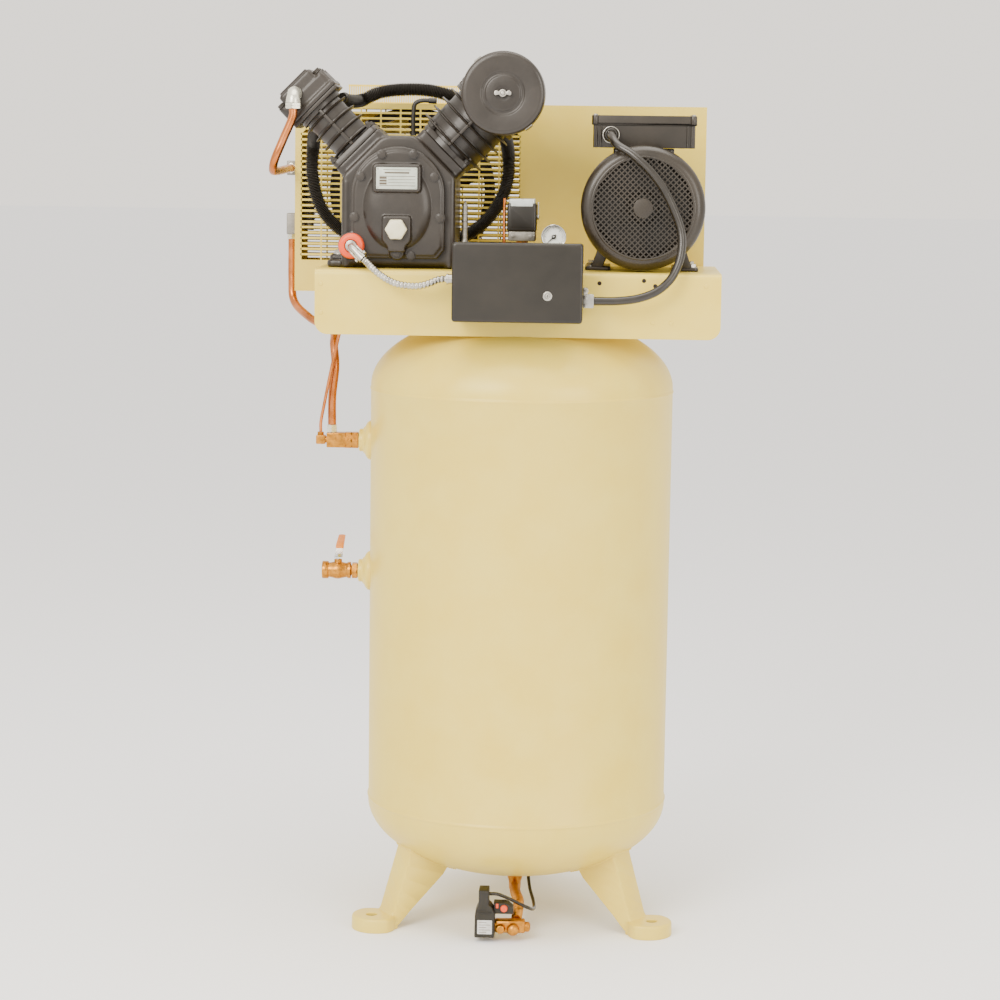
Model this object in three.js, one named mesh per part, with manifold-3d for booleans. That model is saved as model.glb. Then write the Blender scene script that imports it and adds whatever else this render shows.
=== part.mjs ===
// Two-stage air compressor on a vertical receiver tank, in millimetres, +Z up, front facing -Y.
// The tank stands on three legs. A platform welded to its upper head carries the V-twin pump on
// the left and the motor on the right, with the flywheel, pulley and belts in a guard behind them.
import * as THREE from 'three';
import { mergeVertices } from 'three/addons/utils/BufferGeometryUtils.js';
import Module from 'manifold-3d';

const wasm = await Module();
wasm.setup();

// ---- driving sizes -------------------------------------------------------------------------
const clearance = 0.3;            // left between pieces that touch

const tankRadius = 304.8;
const tankWall = 4.8;
const shellLength = 832;          // between the two head seams
const headDepth = 150;
const headSkirt = 8;              // straight part of a head beyond its seam
const seamHeight = 243;           // lower seam above the floor
const seamWidth = 8;
const seamProud = 1.6;
const tankSides = 32;

const legAngle = 57.5;            // front legs, either side of the front
const legWidth = 62;
const legSheet = 5;
const footRadius = 50;
const footCentre = 322;
const footHeight = 28;
const footHoleRadius = 11;
const footHoleCentre = 333;

const platformWidth = 790;
const platformOffset = -5;
const platformFront = -200;
const platformDepth = 385;
const platformAboveSeam = 247;    // platform top above the tank's upper seam
const platformSheet = 6;
const apronHeight = 127;
const apronCorner = 25;

const portRadius = 13;
const inletBelowTopSeam = 108;
const outletAboveBottomSeam = 455;
const bossRadius = 40;
const couplingRadius = 26;
const couplingLength = 24;

const crankX = -243;
const crankAbovePlatform = 146;
const crankcaseWidth = 222;
const crankcaseFront = -140;
const crankcaseBack = 60;
const crankcaseWall = 12;
const crankcaseTop = 113;
const flangeDistance = 122;       // crank axis to the cylinder seats
const flangeThickness = 20;
const cylinderPlaneY = -40;
const coverWidth = 184;
const coverThickness = 15;
const highBore = 32;              // bore radii of the two stages
const lowBore = 51;
const highBarrel = 40;
const lowBarrel = 62;
const highFinRadius = 52;
const lowFinRadius = 79;
const cylinderLength = 112;
const finSpacing = 24;
const finThickness = 5;
const valvePlateThickness = 7;
const stroke = 70;
const mainShaftRadius = 17.5;

const motorX = 236;
const motorAbovePlatform = 125;
const motorRadius = 112;
const motorFront = -100;
const motorBack = 118;
const shroudRadius = 121.5;
const shroudDepth = 68;
const motorShaftRadius = 14.5;

const guardLeft = -484;
const guardWidth = 851;
const guardAbovePlatform = 326;
const guardHeight = 390;
const guardDepth = 122;
const guardSheet = 2.5;
const flywheelRadius = 172;
const pulleyRadius = 74.5;
const sheaveWidth = 50;
const shaftSides = 16;
const grooveWidth = 14;
const grooveDepth = 11;
const beltWidth = 12;
const beltDepth = 9;

const filterRadius = 81;
const filterX = -38;
const filterAbovePlatform = 342;

const boxWidth = 250;
const boxHeight = 152;
const boxDepth = 104;
const boxCentreX = -2;
const boxBelowPlatform = 93;      // control box bottom below the platform's top
const boxWall = 3;
const lidDepth = 24;

const copperRadius = 8.5;
const pilotRadius = 3.2;
const leadRadius = 8.2;
const conduitRadius = 7;
const finnedTubeRadius = 14;

// ---- places that follow from the sizes -----------------------------------------------------
const upperSeam = seamHeight + shellLength;
const platformTop = upperSeam + platformAboveSeam;
const deck = (height) => platformTop + height;
const guardTop = deck(guardAbovePlatform);
const boxBottom = deck(-boxBelowPlatform);
const inletHeight = upperSeam - inletBelowTopSeam;
const outletHeight = seamHeight + outletAboveBottomSeam;
const platformBack = platformFront + platformDepth;
const crankZ = platformTop + crankAbovePlatform;
const motorZ = platformTop + motorAbovePlatform;
const guardFront = platformBack + clearance;
const guardBack = guardFront + guardDepth;
const guardBottom = guardTop - guardHeight;
const guardRight = guardLeft + guardWidth;
const sheaveY = guardFront + guardDepth / 2;
const shaftEnd = sheaveY + sheaveWidth / 2;
const couplingEnd = tankRadius + couplingLength;
const cylinderStart = flangeDistance + clearance;
const cylinderEnd = cylinderStart + cylinderLength;
const headStart = cylinderEnd + clearance + valvePlateThickness + clearance;

// ---- materials -----------------------------------------------------------------------------
const finish = (color, roughness, metalness) => ({ color, roughness, metalness });
const cream = finish('#dccb92', 0.45, 0);
const blackPaint = finish('#3c3732', 0.55, 0);
const blackPlastic = finish('#2b2926', 0.6, 0);
const castIron = finish('#4a4643', 0.6, 0.4);
const steel = finish('#a9a7a2', 0.35, 1);
const copper = finish('#c4764a', 0.3, 1);
const brass = finish('#c08a3e', 0.35, 1);
const rubber = finish('#23211f', 0.8, 0);
const signal = finish('#e4501e', 0.45, 0);
const paleGrey = finish('#b9b4a8', 0.5, 0);

// ---- solids --------------------------------------------------------------------------------
// A three.js geometry as a closed solid: its corners are shared and its faces point outwards.
function solid(geometry) {
  const bare = geometry.clone();
  bare.deleteAttribute('normal');
  bare.deleteAttribute('uv');
  const merged = mergeVertices(bare, 1e-3);
  const place = merged.getAttribute('position');
  const corners = [];
  let volume = 0;
  for (let i = 0; i < merged.index.count; i += 3) {
    const [a, b, c] = [0, 1, 2].map((k) => merged.index.getX(i + k));
    if (a === b || b === c || c === a) continue;
    const [p, q, r] = [a, b, c].map((k) => new THREE.Vector3().fromBufferAttribute(place, k));
    volume += p.dot(q.cross(r));
    corners.push([a, b, c]);
  }
  const ordered = volume < 0 ? corners.map(([a, b, c]) => [a, c, b]) : corners;
  return new wasm.Manifold(new wasm.Mesh({
    numProp: 3,
    vertProperties: new Float32Array(place.array),
    triVerts: new Uint32Array(ordered.flat()),
  }));
}

function geometryOf(manifold) {
  const mesh = manifold.getMesh();
  const geometry = new THREE.BufferGeometry();
  geometry.setAttribute('position', new THREE.BufferAttribute(mesh.vertProperties, 3));
  geometry.setIndex(new THREE.BufferAttribute(mesh.triVerts, 1));
  return geometry;
}

const join = (...solids) => solids.reduce((whole, piece) => whole.add(piece));
const cut = (body, ...tools) => tools.reduce((whole, tool) => whole.subtract(tool), body);

// A box by its lowest and highest corners.
function block(low, high) {
  const size = high.map((value, k) => value - low[k]);
  const geometry = new THREE.BoxGeometry(...size);
  geometry.translate(...low.map((value, k) => value + size[k] / 2));
  return solid(geometry);
}

// A round bar between two points on a line along X, Y or Z.
function bar(axis, radius, from, to, [u, v], sides = 16) {
  const geometry = new THREE.CylinderGeometry(radius, radius, Math.abs(to - from), sides);
  const middle = (from + to) / 2;
  if (axis === 'x') {
    geometry.rotateZ(Math.PI / 2);
    geometry.translate(middle, u, v);
  } else if (axis === 'y') {
    geometry.translate(u, middle, v);
  } else {
    geometry.rotateX(Math.PI / 2);
    geometry.translate(u, v, middle);
  }
  return solid(geometry);
}

// A turned piece: profile is [radius, distance along the axis] from axis to axis, or closed.
function turned(axis, profile, [u, v] = [0, 0], sides = 24) {
  const geometry = new THREE.LatheGeometry(profile.map(([r, h]) => new THREE.Vector2(r, h)), sides);
  if (axis === 'x') {
    geometry.rotateZ(-Math.PI / 2);
    geometry.translate(0, u, v);
  } else if (axis === 'y') {
    geometry.translate(u, 0, v);
  } else {
    geometry.rotateX(Math.PI / 2);
    geometry.translate(u, v, 0);
  }
  return solid(geometry);
}

// An outline in the XZ plane, given thickness along Y from front to back.
function plateXZ(shape, front, back, curveSegments = 8) {
  const geometry = new THREE.ExtrudeGeometry(shape, {
    depth: back - front, bevelEnabled: false, curveSegments,
  });
  geometry.rotateX(Math.PI / 2);
  geometry.translate(0, back, 0);
  return solid(geometry);
}

// An outline in the XY plane, given thickness along Z.
function plateXY(shape, bottom, top, curveSegments = 8) {
  const geometry = new THREE.ExtrudeGeometry(shape, {
    depth: top - bottom, bevelEnabled: false, curveSegments,
  });
  geometry.translate(0, 0, bottom);
  return solid(geometry);
}

const outline = (points) => new THREE.Shape(points.map(([x, y]) => new THREE.Vector2(x, y)));

function circle(radius, x = 0, y = 0) {
  const shape = new THREE.Shape();
  shape.absarc(x, y, radius, 0, 2 * Math.PI);
  return shape;
}

// A tube or rod along a smooth curve through hand-chosen points.
function tube(points, radius, steps, sides = 8) {
  const path = new THREE.CatmullRomCurve3(points.map((p) => new THREE.Vector3(...p)), false,
    'centripetal');
  return solid(new THREE.ExtrudeGeometry(circle(radius), {
    steps, bevelEnabled: false, extrudePath: path, curveSegments: sides / 2,
  }));
}

// Turns a solid about a line along Y, by an angle in degrees that is positive from +Z to +X.
function tilted(manifold, degrees) {
  const geometry = geometryOf(manifold);
  geometry.rotateY(degrees * Math.PI / 180);
  return solid(geometry);
}

// ---- the assembly --------------------------------------------------------------------------
const compressor = new THREE.Group();
compressor.name = 'vertical_tank_compressor';

function group(x, y, z, parent = compressor) {
  const child = new THREE.Group();
  child.position.set(x, y, z);
  parent.add(child);
  return child;
}

function place(name, manifold, look, parent = compressor) {
  const mesh = new THREE.Mesh(geometryOf(manifold), new THREE.MeshStandardMaterial(look));
  mesh.name = name;
  parent.add(mesh);
  return mesh;
}

// ---- tank ----------------------------------------------------------------------------------
// Half of the receiver's section: a 2:1 head, the seam rings, the shell and the other head.
function tankSection(radius, depth, seam, steps) {
  const low = seamHeight - headSkirt;
  const high = upperSeam + headSkirt;
  const head = (centre, side, k) => {
    const turn = (k / steps) * Math.PI / 2;
    return [radius * Math.sin(turn), centre + side * depth * Math.cos(turn)];
  };
  const points = [];
  for (let k = 0; k <= steps; k += 1) points.push(head(low, -1, k));
  if (seam > 0) {
    for (const z of [seamHeight, upperSeam]) {
      points.push([radius, z - seamWidth / 2], [radius + seam, z], [radius, z + seamWidth / 2]);
    }
  }
  for (let k = steps; k >= 0; k -= 1) points.push(head(high, 1, k));
  points[0][0] = 0;
  points[points.length - 1][0] = 0;
  return points;
}

const tankOuter = turned('z', tankSection(tankRadius, headDepth, seamProud, 5), [0, 0], tankSides);
const tankInner = turned('z', tankSection(tankRadius - tankWall, headDepth - tankWall, 0, 4),
  [0, 0], tankSides);
const tankKeepOut = turned('z', tankSection(tankRadius + clearance + seamProud,
  headDepth + clearance, 0, 5), [0, 0], tankSides);
const portCut = (height) => bar('x', portRadius, -couplingEnd - 5, -tankRadius + 40, [0, height]);
const tankBottom = seamHeight - headSkirt - headDepth;
const drainCut = bar('z', portRadius, tankBottom - 5, tankBottom + 20, [0, 0]);

// A threaded coupling on a reinforcing pad, welded over each side port.
const sideBoss = (height) => turned('x', [
  [0, -couplingEnd], [couplingRadius, -couplingEnd], [couplingRadius, -tankRadius - 13],
  [bossRadius - 4, -tankRadius - 7], [bossRadius, -tankRadius - 3],
  [bossRadius, -tankRadius + 8], [0, -tankRadius + 8],
], [0, height], 16);
place('tank_shell', cut(
  join(tankOuter, sideBoss(inletHeight), sideBoss(outletHeight)),
  tankInner, portCut(inletHeight), portCut(outletHeight), drainCut,
), cream);

// ---- legs ----------------------------------------------------------------------------------
// A folded channel: a sloping outer face, two side flanges that reach in under the head, and a
// round-ended foot with a rolled rim and an anchor hole. Outwards is -Y in the leg's own group.
function legSolid() {
  const faceTop = [-250, 190];
  const faceFoot = [-(footCentre - 20), footHeight];
  const flange = new THREE.Shape();
  flange.moveTo(...faceTop);
  flange.lineTo(...faceFoot);
  flange.lineTo(-footCentre, footHeight);
  flange.lineTo(-footCentre, 0);
  flange.lineTo(-(footCentre - 12), 0);
  flange.quadraticCurveTo(-(footCentre - 25), 3, -268, footHeight);
  flange.lineTo(-173, 112);
  flange.lineTo(-150, 170);
  const side = (x) => {
    const geometry = new THREE.ExtrudeGeometry(flange, {
      depth: legSheet, bevelEnabled: false, curveSegments: 3,
    });
    geometry.rotateX(Math.PI / 2);
    geometry.rotateZ(Math.PI / 2);
    geometry.translate(x, 0, 0);
    return solid(geometry);
  };
  const face = outline([faceTop, faceFoot, [faceFoot[0] + legSheet + 1, footHeight],
    [faceTop[0] + legSheet + 1, faceTop[1]]]);
  const faceGeometry = new THREE.ExtrudeGeometry(face, { depth: legWidth, bevelEnabled: false });
  faceGeometry.rotateX(Math.PI / 2);
  faceGeometry.rotateZ(Math.PI / 2);
  faceGeometry.translate(-legWidth / 2, 0, 0);

  const footShape = (inset) => {
    const r = footRadius - inset;
    const neck = legWidth / 2 - inset;
    const back = -(footCentre - 28 - inset);
    const shape = new THREE.Shape();
    shape.moveTo(neck, back);
    shape.lineTo(r, -footCentre);
    shape.absarc(0, -footCentre, r, 0, -Math.PI, true);
    shape.lineTo(-neck, back);
    return shape;
  };
  const foot = cut(plateXY(footShape(0), 0, footHeight, 5),
    plateXY(footShape(legSheet + 2), -1, footHeight - legSheet, 5));
  const right = legWidth / 2 - legSheet;
  const leg = join(side(-legWidth / 2), side(right), solid(faceGeometry), foot);
  return cut(leg, tankKeepOut,
    bar('z', footHoleRadius, -5, footHeight + 5, [0, -footHoleCentre], 10));
}
const leg = legSolid();
const legTurns = { leg_left: -legAngle, leg_right: legAngle, leg_rear: 180 };
for (const [name, turn] of Object.entries(legTurns)) {
  const mesh = place(name, leg, cream);
  mesh.rotation.z = turn * Math.PI / 180;
}

// ---- platform ------------------------------------------------------------------------------
// A bent plate: a flat top with a front and a rear apron, sitting over the tank's upper head.
const platformLeft = platformOffset - platformWidth / 2;
const platformRight = platformOffset + platformWidth / 2;
const apronBottom = platformTop - apronHeight;
const lineHoleX = -36;            // where the pressure line passes up through the top
const lineHoleY = -132;

function apronShape() {
  const shape = new THREE.Shape();
  shape.moveTo(platformLeft, platformTop - apronCorner / 3);
  shape.lineTo(platformLeft, apronBottom + apronCorner);
  shape.absarc(platformLeft + apronCorner, apronBottom + apronCorner, apronCorner,
    Math.PI, 1.5 * Math.PI, false);
  shape.absarc(platformRight - apronCorner, apronBottom + apronCorner, apronCorner,
    1.5 * Math.PI, 2 * Math.PI, false);
  shape.lineTo(platformRight, platformTop - apronCorner / 3);
  shape.lineTo(platformRight - apronCorner / 3, platformTop);
  shape.lineTo(platformLeft + apronCorner / 3, platformTop);
  return shape;
}
const apron = (front) => plateXZ(apronShape(), front, front + platformSheet, 4);
const boltHoles = [
  [platformLeft + 12, -29], [platformLeft + 12, -85], [platformRight - 30, -23],
  [platformRight - 96, -95], [platformRight - 132, -95], [platformRight - 236, -20],
].map(([x, below]) => bar('y', 4, platformFront - 5, platformFront + platformSheet + 5,
  [x, platformTop + below], 6));
place('platform', cut(
  join(
    block([platformLeft + apronCorner / 3, platformFront, platformTop - platformSheet],
      [platformRight - apronCorner / 3, platformBack, platformTop]),
    apron(platformFront), apron(platformBack - platformSheet),
  ),
  tankKeepOut, ...boltHoles,
  bar('z', pilotRadius + 4, platformTop - 20, platformTop + 5, [lineHoleX, lineHoleY], 8),
), cream);

// ---- belt guard ----------------------------------------------------------------------------
// A sheet box behind the platform: front and rear panels with grilles, and a rim between them.
const grilleLeft = guardLeft + 14;
const grilleRight = guardLeft + 466;
const grilleTop = guardTop - 20;
const grilleBottom = guardTop - 325;
const grilleCorner = 60;
const screenLeft = crankX - 142;
const screenRight = crankX + 142;
const screenRise = 40;

function grilleWindow() {
  return outline([
    [grilleLeft, grilleBottom], [grilleRight, grilleBottom],
    [grilleRight, grilleTop - grilleCorner], [grilleRight - grilleCorner, grilleTop],
    [grilleLeft + grilleCorner, grilleTop], [grilleLeft, grilleTop - grilleCorner],
  ]);
}

// A panel with its grille drawn coarsely: level bars crossed by upright ones.
function guardPanel(front, back) {
  const sheet = block([guardLeft, front, guardBottom], [guardRight, back, guardTop]);
  const open = cut(sheet, plateXZ(grilleWindow(), front - 1, back + 1));
  const bars = [];
  for (let z = grilleBottom + 61; z < grilleTop - 10; z += 61) {
    bars.push(block([grilleLeft - 5, front, z - 5], [grilleRight + 5, back, z + 5]));
  }
  for (const x of [crankX - 115, crankX + 115]) {
    bars.push(block([x - 4, front, grilleBottom - 5], [x + 4, back, grilleTop + 5]));
  }
  return join(open, ...bars);
}

const frontPanel = cut(guardPanel(guardFront, guardFront + guardSheet),
  bar('y', mainShaftRadius + 12, guardFront - 5, guardFront + 10, [crankX, crankZ], 12),
  bar('y', motorShaftRadius + 12, guardFront - 5, guardFront + 10, [motorX, motorZ], 12));
place('guard_front_panel', frontPanel, cream);

const coolerY = guardFront + 50;
const coolerX = guardLeft - 11;
const coolerInnerX = guardLeft + 24;
const coolerTopZ = deck(190);
const coolerLowZ = deck(74);
const coolerHole = (z) => bar('x', 6 + clearance, guardLeft - 5, guardLeft + 10, [coolerY, z], 10);
const rimFront = guardFront + guardSheet + clearance;
const rimBack = guardBack - guardSheet - clearance;
place('guard_rim', cut(
  block([guardLeft, rimFront, guardBottom], [guardRight, rimBack, guardTop]),
  block([guardLeft + guardSheet, rimFront - 5, guardBottom + guardSheet],
    [guardRight - guardSheet, rimBack + 5, guardTop - guardSheet]),
  coolerHole(coolerTopZ), coolerHole(coolerLowZ),
), cream);

// The rear panel carries an upright screen over the flywheel, as tall as the pump's tubes.
place('guard_rear_panel', join(guardPanel(guardBack - guardSheet, guardBack),
  block([screenLeft, guardBack - guardSheet, guardTop - 5],
    [screenRight, guardBack, guardTop + screenRise])), cream);

// ---- flywheel, pulley and belts ------------------------------------------------------------
const grooveOffset = sheaveWidth / 4;

// The rim of a two-groove sheave, centred on the belts' plane.
function sheaveRim(radius, inner) {
  const half = sheaveWidth / 2;
  const floor = radius - grooveDepth;
  const profile = [[inner, -half], [radius, -half]];
  for (const middle of [-grooveOffset, grooveOffset]) {
    profile.push([radius, middle - grooveWidth / 2], [floor, middle - grooveWidth / 2]);
    profile.push([floor, middle + grooveWidth / 2], [radius, middle + grooveWidth / 2]);
  }
  profile.push([radius, half], [inner, half], [inner, -half]);
  return profile;
}

const crank = group(crankX, 0, crankZ);
const rotor = group(motorX, 0, motorZ);

const flywheelSpokes = [0, 1, 2, 3, 4].map((k) => tilted(
  block([-16, -9, 30], [16, 9, flywheelRadius - grooveDepth - 6]), k * 72));
const flywheelAtOrigin = cut(
  join(turned('y', sheaveRim(flywheelRadius, flywheelRadius - grooveDepth - 9), [0, 0], 28),
    bar('y', 40, -sheaveWidth / 2, sheaveWidth / 2, [0, 0], 16), ...flywheelSpokes),
  bar('y', mainShaftRadius + clearance, -sheaveWidth, sheaveWidth, [0, 0], shaftSides),
);
place('flywheel', flywheelAtOrigin, castIron, crank).position.y = sheaveY;

const pulleyAtOrigin = turned('y', sheaveRim(pulleyRadius, motorShaftRadius + clearance),
  [0, 0], shaftSides);
place('motor_pulley', pulleyAtOrigin, castIron, rotor).position.y = sheaveY;

// A belt round both sheaves: the outer and inner outlines each wrap the two circles.
function wrap(big, small) {
  const acrossX = motorX - crankX;
  const acrossZ = motorZ - crankZ;
  const lean = Math.atan2(acrossZ, acrossX);
  const open = Math.acos((big - small) / Math.hypot(acrossX, acrossZ));
  const shape = new THREE.Shape();
  shape.absarc(0, 0, big, lean + open, lean + 2 * Math.PI - open, false);
  shape.absarc(acrossX, acrossZ, small, lean - open, lean + open, false);
  return shape;
}

function beltSolid() {
  const top = 1;
  const outer = wrap(flywheelRadius - top, pulleyRadius - top);
  const inner = wrap(flywheelRadius - top - beltDepth, pulleyRadius - top - beltDepth);
  return cut(plateXZ(outer, -beltWidth / 2, beltWidth / 2, 8),
    plateXZ(inner, -beltWidth, beltWidth, 8));
}
const beltPlaces = { belt_front: -grooveOffset, belt_rear: grooveOffset };
for (const [name, offset] of Object.entries(beltPlaces)) {
  place(name, beltSolid(), rubber, crank).position.y = sheaveY + offset;
}

// ---- pump ----------------------------------------------------------------------------------
// Solids below are about the crank's axis: X across, Z up, Y along the shaft.
const caseHalf = crankcaseWidth / 2;
const caseBottom = -(crankAbovePlatform - clearance);
const baseTop = caseBottom + 14;
const seatHalf = 58;
const mouthLip = 2;               // face left round the mouth behind the front cover
const leftTilt = -45;
const rightTilt = 45;

// The part of the crankcase outline under the two seats, drawn inset for the hollow inside.
function caseShape(inset) {
  const half = caseHalf - inset;
  const across = (flangeDistance - flangeThickness - inset) * Math.SQRT2;
  const top = crankcaseTop - inset;
  return outline([
    [-half, caseBottom + 6 + inset], [half, caseBottom + 6 + inset], [half, across - half],
    [across - top, top], [top - across, top], [-half, across - half],
  ]);
}

// The front cover's arch, and the mouth it closes.
function archShape(half, bottom, spring) {
  const shape = new THREE.Shape();
  shape.moveTo(half, bottom);
  shape.absarc(0, spring, half, 0, Math.PI, false);
  shape.lineTo(-half, bottom);
  return shape;
}

const seat = (tilt) => tilted(block([-seatHalf, cylinderPlaneY - seatHalf,
  flangeDistance - flangeThickness - 12], [seatHalf, cylinderPlaneY + seatHalf, flangeDistance]), tilt);
const boreCut = (radius, from, to, tilt) => tilted(
  bar('z', radius, from, to, [0, cylinderPlaneY], 16), tilt);
const pumpFoot = (left) => block([left, -70, caseBottom], [left + 35, 30, baseTop + 9]);

place('crankcase', cut(
  join(plateXZ(caseShape(0), crankcaseFront, crankcaseBack), seat(leftTilt), seat(rightTilt),
    block([-caseHalf - 31, -125, caseBottom], [caseHalf + 31, crankcaseBack, baseTop]),
    pumpFoot(-caseHalf - 31), pumpFoot(caseHalf - 4)),
  plateXZ(caseShape(crankcaseWall), crankcaseFront + mouthLip, crankcaseBack - crankcaseWall),
  plateXZ(archShape(coverWidth / 2 - 9, caseBottom + 26, 0), crankcaseFront - 5,
    crankcaseFront + 5, 8),
  boreCut(highBore + 2, 40, flangeDistance + 5, leftTilt),
  boreCut(lowBore + 2, 40, flangeDistance + 5, rightTilt),
  bar('y', (mainShaftRadius + clearance) / Math.cos(Math.PI / shaftSides), crankcaseBack - 30,
    crankcaseBack + 5, [0, 0], shaftSides),
), blackPaint, crank);

// The front cover: an arch with a raised belly, a nameplate pad, a filler boss and a lobe for
// the oil level switch.
const coverFront = crankcaseFront - clearance - coverThickness;
const bellyFront = coverFront - 17;
const plugZ = -68;
const switchX = -89;
const switchZ = -102;

function bellyShape() {
  const shape = new THREE.Shape();
  shape.absellipse(0, -28, 66, 84, 0, 2 * Math.PI, false, 0);
  return shape;
}
place('crankcase_cover', cut(
  join(plateXZ(archShape(coverWidth / 2, -126, 0), coverFront, crankcaseFront - clearance, 8),
    plateXZ(bellyShape(), bellyFront, coverFront + 1, 7),
    block([-48, bellyFront - 6, 3], [47, coverFront + 1, 58]),
    block([-28, bellyFront - 10, plugZ - 26], [28, coverFront + 1, plugZ + 26]),
    bar('y', 28, coverFront, crankcaseFront - clearance, [switchX, switchZ], 16)),
  bar('y', 12.5, bellyFront - 15, coverFront + 8, [0, plugZ], 12),
  bar('y', 10.5, coverFront - 5, coverFront + 10, [switchX, switchZ], 12),
), blackPaint, crank);

place('oil_filler_plug', join(
  bar('y', 22, bellyFront - 27, bellyFront - 10 - clearance, [0, plugZ], 6),
  bar('y', 12, bellyFront - 12, coverFront + 5, [0, plugZ], 12),
), cream, crank);

const switchFront = coverFront - 24;
const clampEnd = [switchX + 26, switchFront - 15, switchZ - 24];
const clampStep = [0.62, -0.2, -0.56];    // the way the clamp and the conduit point
const beyondClamp = (distance) => clampEnd.map((value, k) => value + distance * clampStep[k]);
place('oil_level_switch', join(
  turned('y', [[0, switchFront], [20, switchFront], [25, switchFront + 4],
    [25, coverFront - clearance], [0, coverFront - clearance]], [switchX, switchZ], 16),
  bar('y', 10, coverFront - 2, coverFront + 9, [switchX, switchZ], 12),
  tube([[switchX, switchFront + 2, switchZ], [switchX + 2, switchFront - 6, switchZ - 1],
    beyondClamp(-16), beyondClamp(-6), clampEnd], 10, 6),
), signal, crank);

// Crankshaft: two journals, two webs with counterweights and one pin that carries both rods.
const webs = [[-92, -74], [-6, 12]];
place('crankshaft', join(
  bar('y', 15, crankcaseFront + 6, webs[0][0] + 2, [0, 0], 12),
  bar('y', 19, webs[0][1] - 2, webs[1][0] + 2, [0, stroke / 2], 12),
  bar('y', mainShaftRadius, webs[1][1] - 2, shaftEnd, [0, 0], shaftSides),
  ...webs.map(([front, back]) => block([-27, front, -62], [27, back, stroke / 2 + 24])),
), steel, crank);

// A finned cylinder, standing on its seat along +Z before it is tilted into the V.
function cylinderSolid(bore, barrel, fin, tilt) {
  const profile = [[0, cylinderStart], [barrel, cylinderStart]];
  for (let z = cylinderStart + 18; z < cylinderEnd - 14; z += finSpacing) {
    profile.push([barrel, z], [fin, z], [fin, z + finThickness], [barrel, z + finThickness]);
  }
  profile.push([barrel, cylinderEnd - 9], [fin - 4, cylinderEnd - 9], [fin - 4, cylinderEnd]);
  profile.push([0, cylinderEnd]);
  const rib = block([-3, cylinderPlaneY - fin + 1, cylinderStart + 8],
    [3, cylinderPlaneY - barrel + 4, cylinderEnd - 4]);
  const foot = block([-seatHalf + 2, cylinderPlaneY - seatHalf + 2, cylinderStart],
    [seatHalf - 2, cylinderPlaneY + seatHalf - 2, cylinderStart + 12]);
  return tilted(cut(join(turned('z', profile, [0, cylinderPlaneY], 16), rib, foot),
    bar('z', bore, cylinderStart - 5, cylinderEnd + 5, [0, cylinderPlaneY], 16)), tilt);
}
const highCylinder = cylinderSolid(highBore, highBarrel, highFinRadius, leftTilt);
const lowCylinder = cylinderSolid(lowBore, lowBarrel, lowFinRadius, rightTilt);
place('high_pressure_cylinder', highCylinder, blackPaint, crank);
place('low_pressure_cylinder', lowCylinder, blackPaint, crank);

// Valve plates close the cylinders; the pistons run under them.
const plateStart = cylinderEnd + clearance;
function valvePlate(half, tilt) {
  return tilted(block([-half, cylinderPlaneY - half, plateStart],
    [half, cylinderPlaneY + half, plateStart + valvePlateThickness]), tilt);
}
place('high_pressure_valve_plate', valvePlate(58, leftTilt), steel, crank);
place('low_pressure_valve_plate', valvePlate(72, rightTilt), steel, crank);

// Pistons, hollow underneath. The crank's pin stands upright between the two cylinders, so both
// crowns sit a little under top dead centre.
const belowTop = (stroke / 2) * (1 - Math.SQRT1_2);
function pistonSolid(bore, tilt) {
  const radius = bore - clearance;
  const crown = cylinderEnd - 4 - belowTop;
  const skirt = crown - 46;
  return tilted(cut(bar('z', radius, skirt, crown, [0, cylinderPlaneY], 16),
    bar('z', radius - 6, skirt - 5, crown - 9, [0, cylinderPlaneY], 12)), tilt);
}
place('high_pressure_piston', pistonSolid(highBore, leftTilt), steel, crank);
place('low_pressure_piston', pistonSolid(lowBore, rightTilt), steel, crank);

// Heads: a base the size of the valve plate and a narrower raised top.
function headSolid(half, depth, topHalf, topDepth, rise, tilt, corner) {
  const base = outline([
    [-half, headStart], [half, headStart], [half, headStart + rise - corner],
    [half - corner, headStart + rise], [corner - half, headStart + rise],
    [-half, headStart + rise - corner],
  ]);
  const top = block([-topHalf, cylinderPlaneY - topDepth, headStart + rise - 5],
    [topHalf, cylinderPlaneY + topDepth, headStart + rise + 27]);
  return tilted(join(plateXZ(base, cylinderPlaneY - depth, cylinderPlaneY + depth), top), tilt);
}
const highHeadHalf = 60;
const highHeadDepth = 58;
const lowHeadHalf = 74;
const lowHeadDepth = 68;
place('high_pressure_head', headSolid(highHeadHalf, highHeadDepth, 42, 54, 38, leftTilt, 6),
  blackPaint, crank);
place('low_pressure_head', headSolid(lowHeadHalf, lowHeadDepth, 50, 54, 32, rightTilt, 10),
  blackPaint, crank);

// ---- intercooler and pump tubes ------------------------------------------------------------
// Finned tubes ring the pump between the cylinders and the guard.
const ringY = 118;
place('intercooler_over', tube([
  [-371, 24, deck(333)], [-362, 78, deck(328)], [-340, ringY - 3, deck(330)], [-304, ringY, deck(346)],
  [-252, ringY, deck(353)], [-196, ringY, deck(351)], [-150, ringY - 3, deck(338)], [-124, 96, deck(323)],
  [-112, 58, deck(314)],
], finnedTubeRadius, 16), blackPaint);
place('intercooler_under', tube([
  [-414, 18, deck(278)], [-428, 62, deck(270)], [-438, ringY - 4, deck(238)], [-440, ringY, deck(178)],
  [-420, ringY, deck(108)], [-376, ringY, deck(63)], [-300, ringY, deck(36)], [-220, ringY, deck(30)],
  [-140, ringY, deck(50)], [-78, ringY, deck(94)], [-42, ringY, deck(160)], [-38, ringY - 2, deck(223)],
  [-46, 84, deck(263)], [-58, 44, deck(270)],
], finnedTubeRadius, 26), blackPaint);
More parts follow.
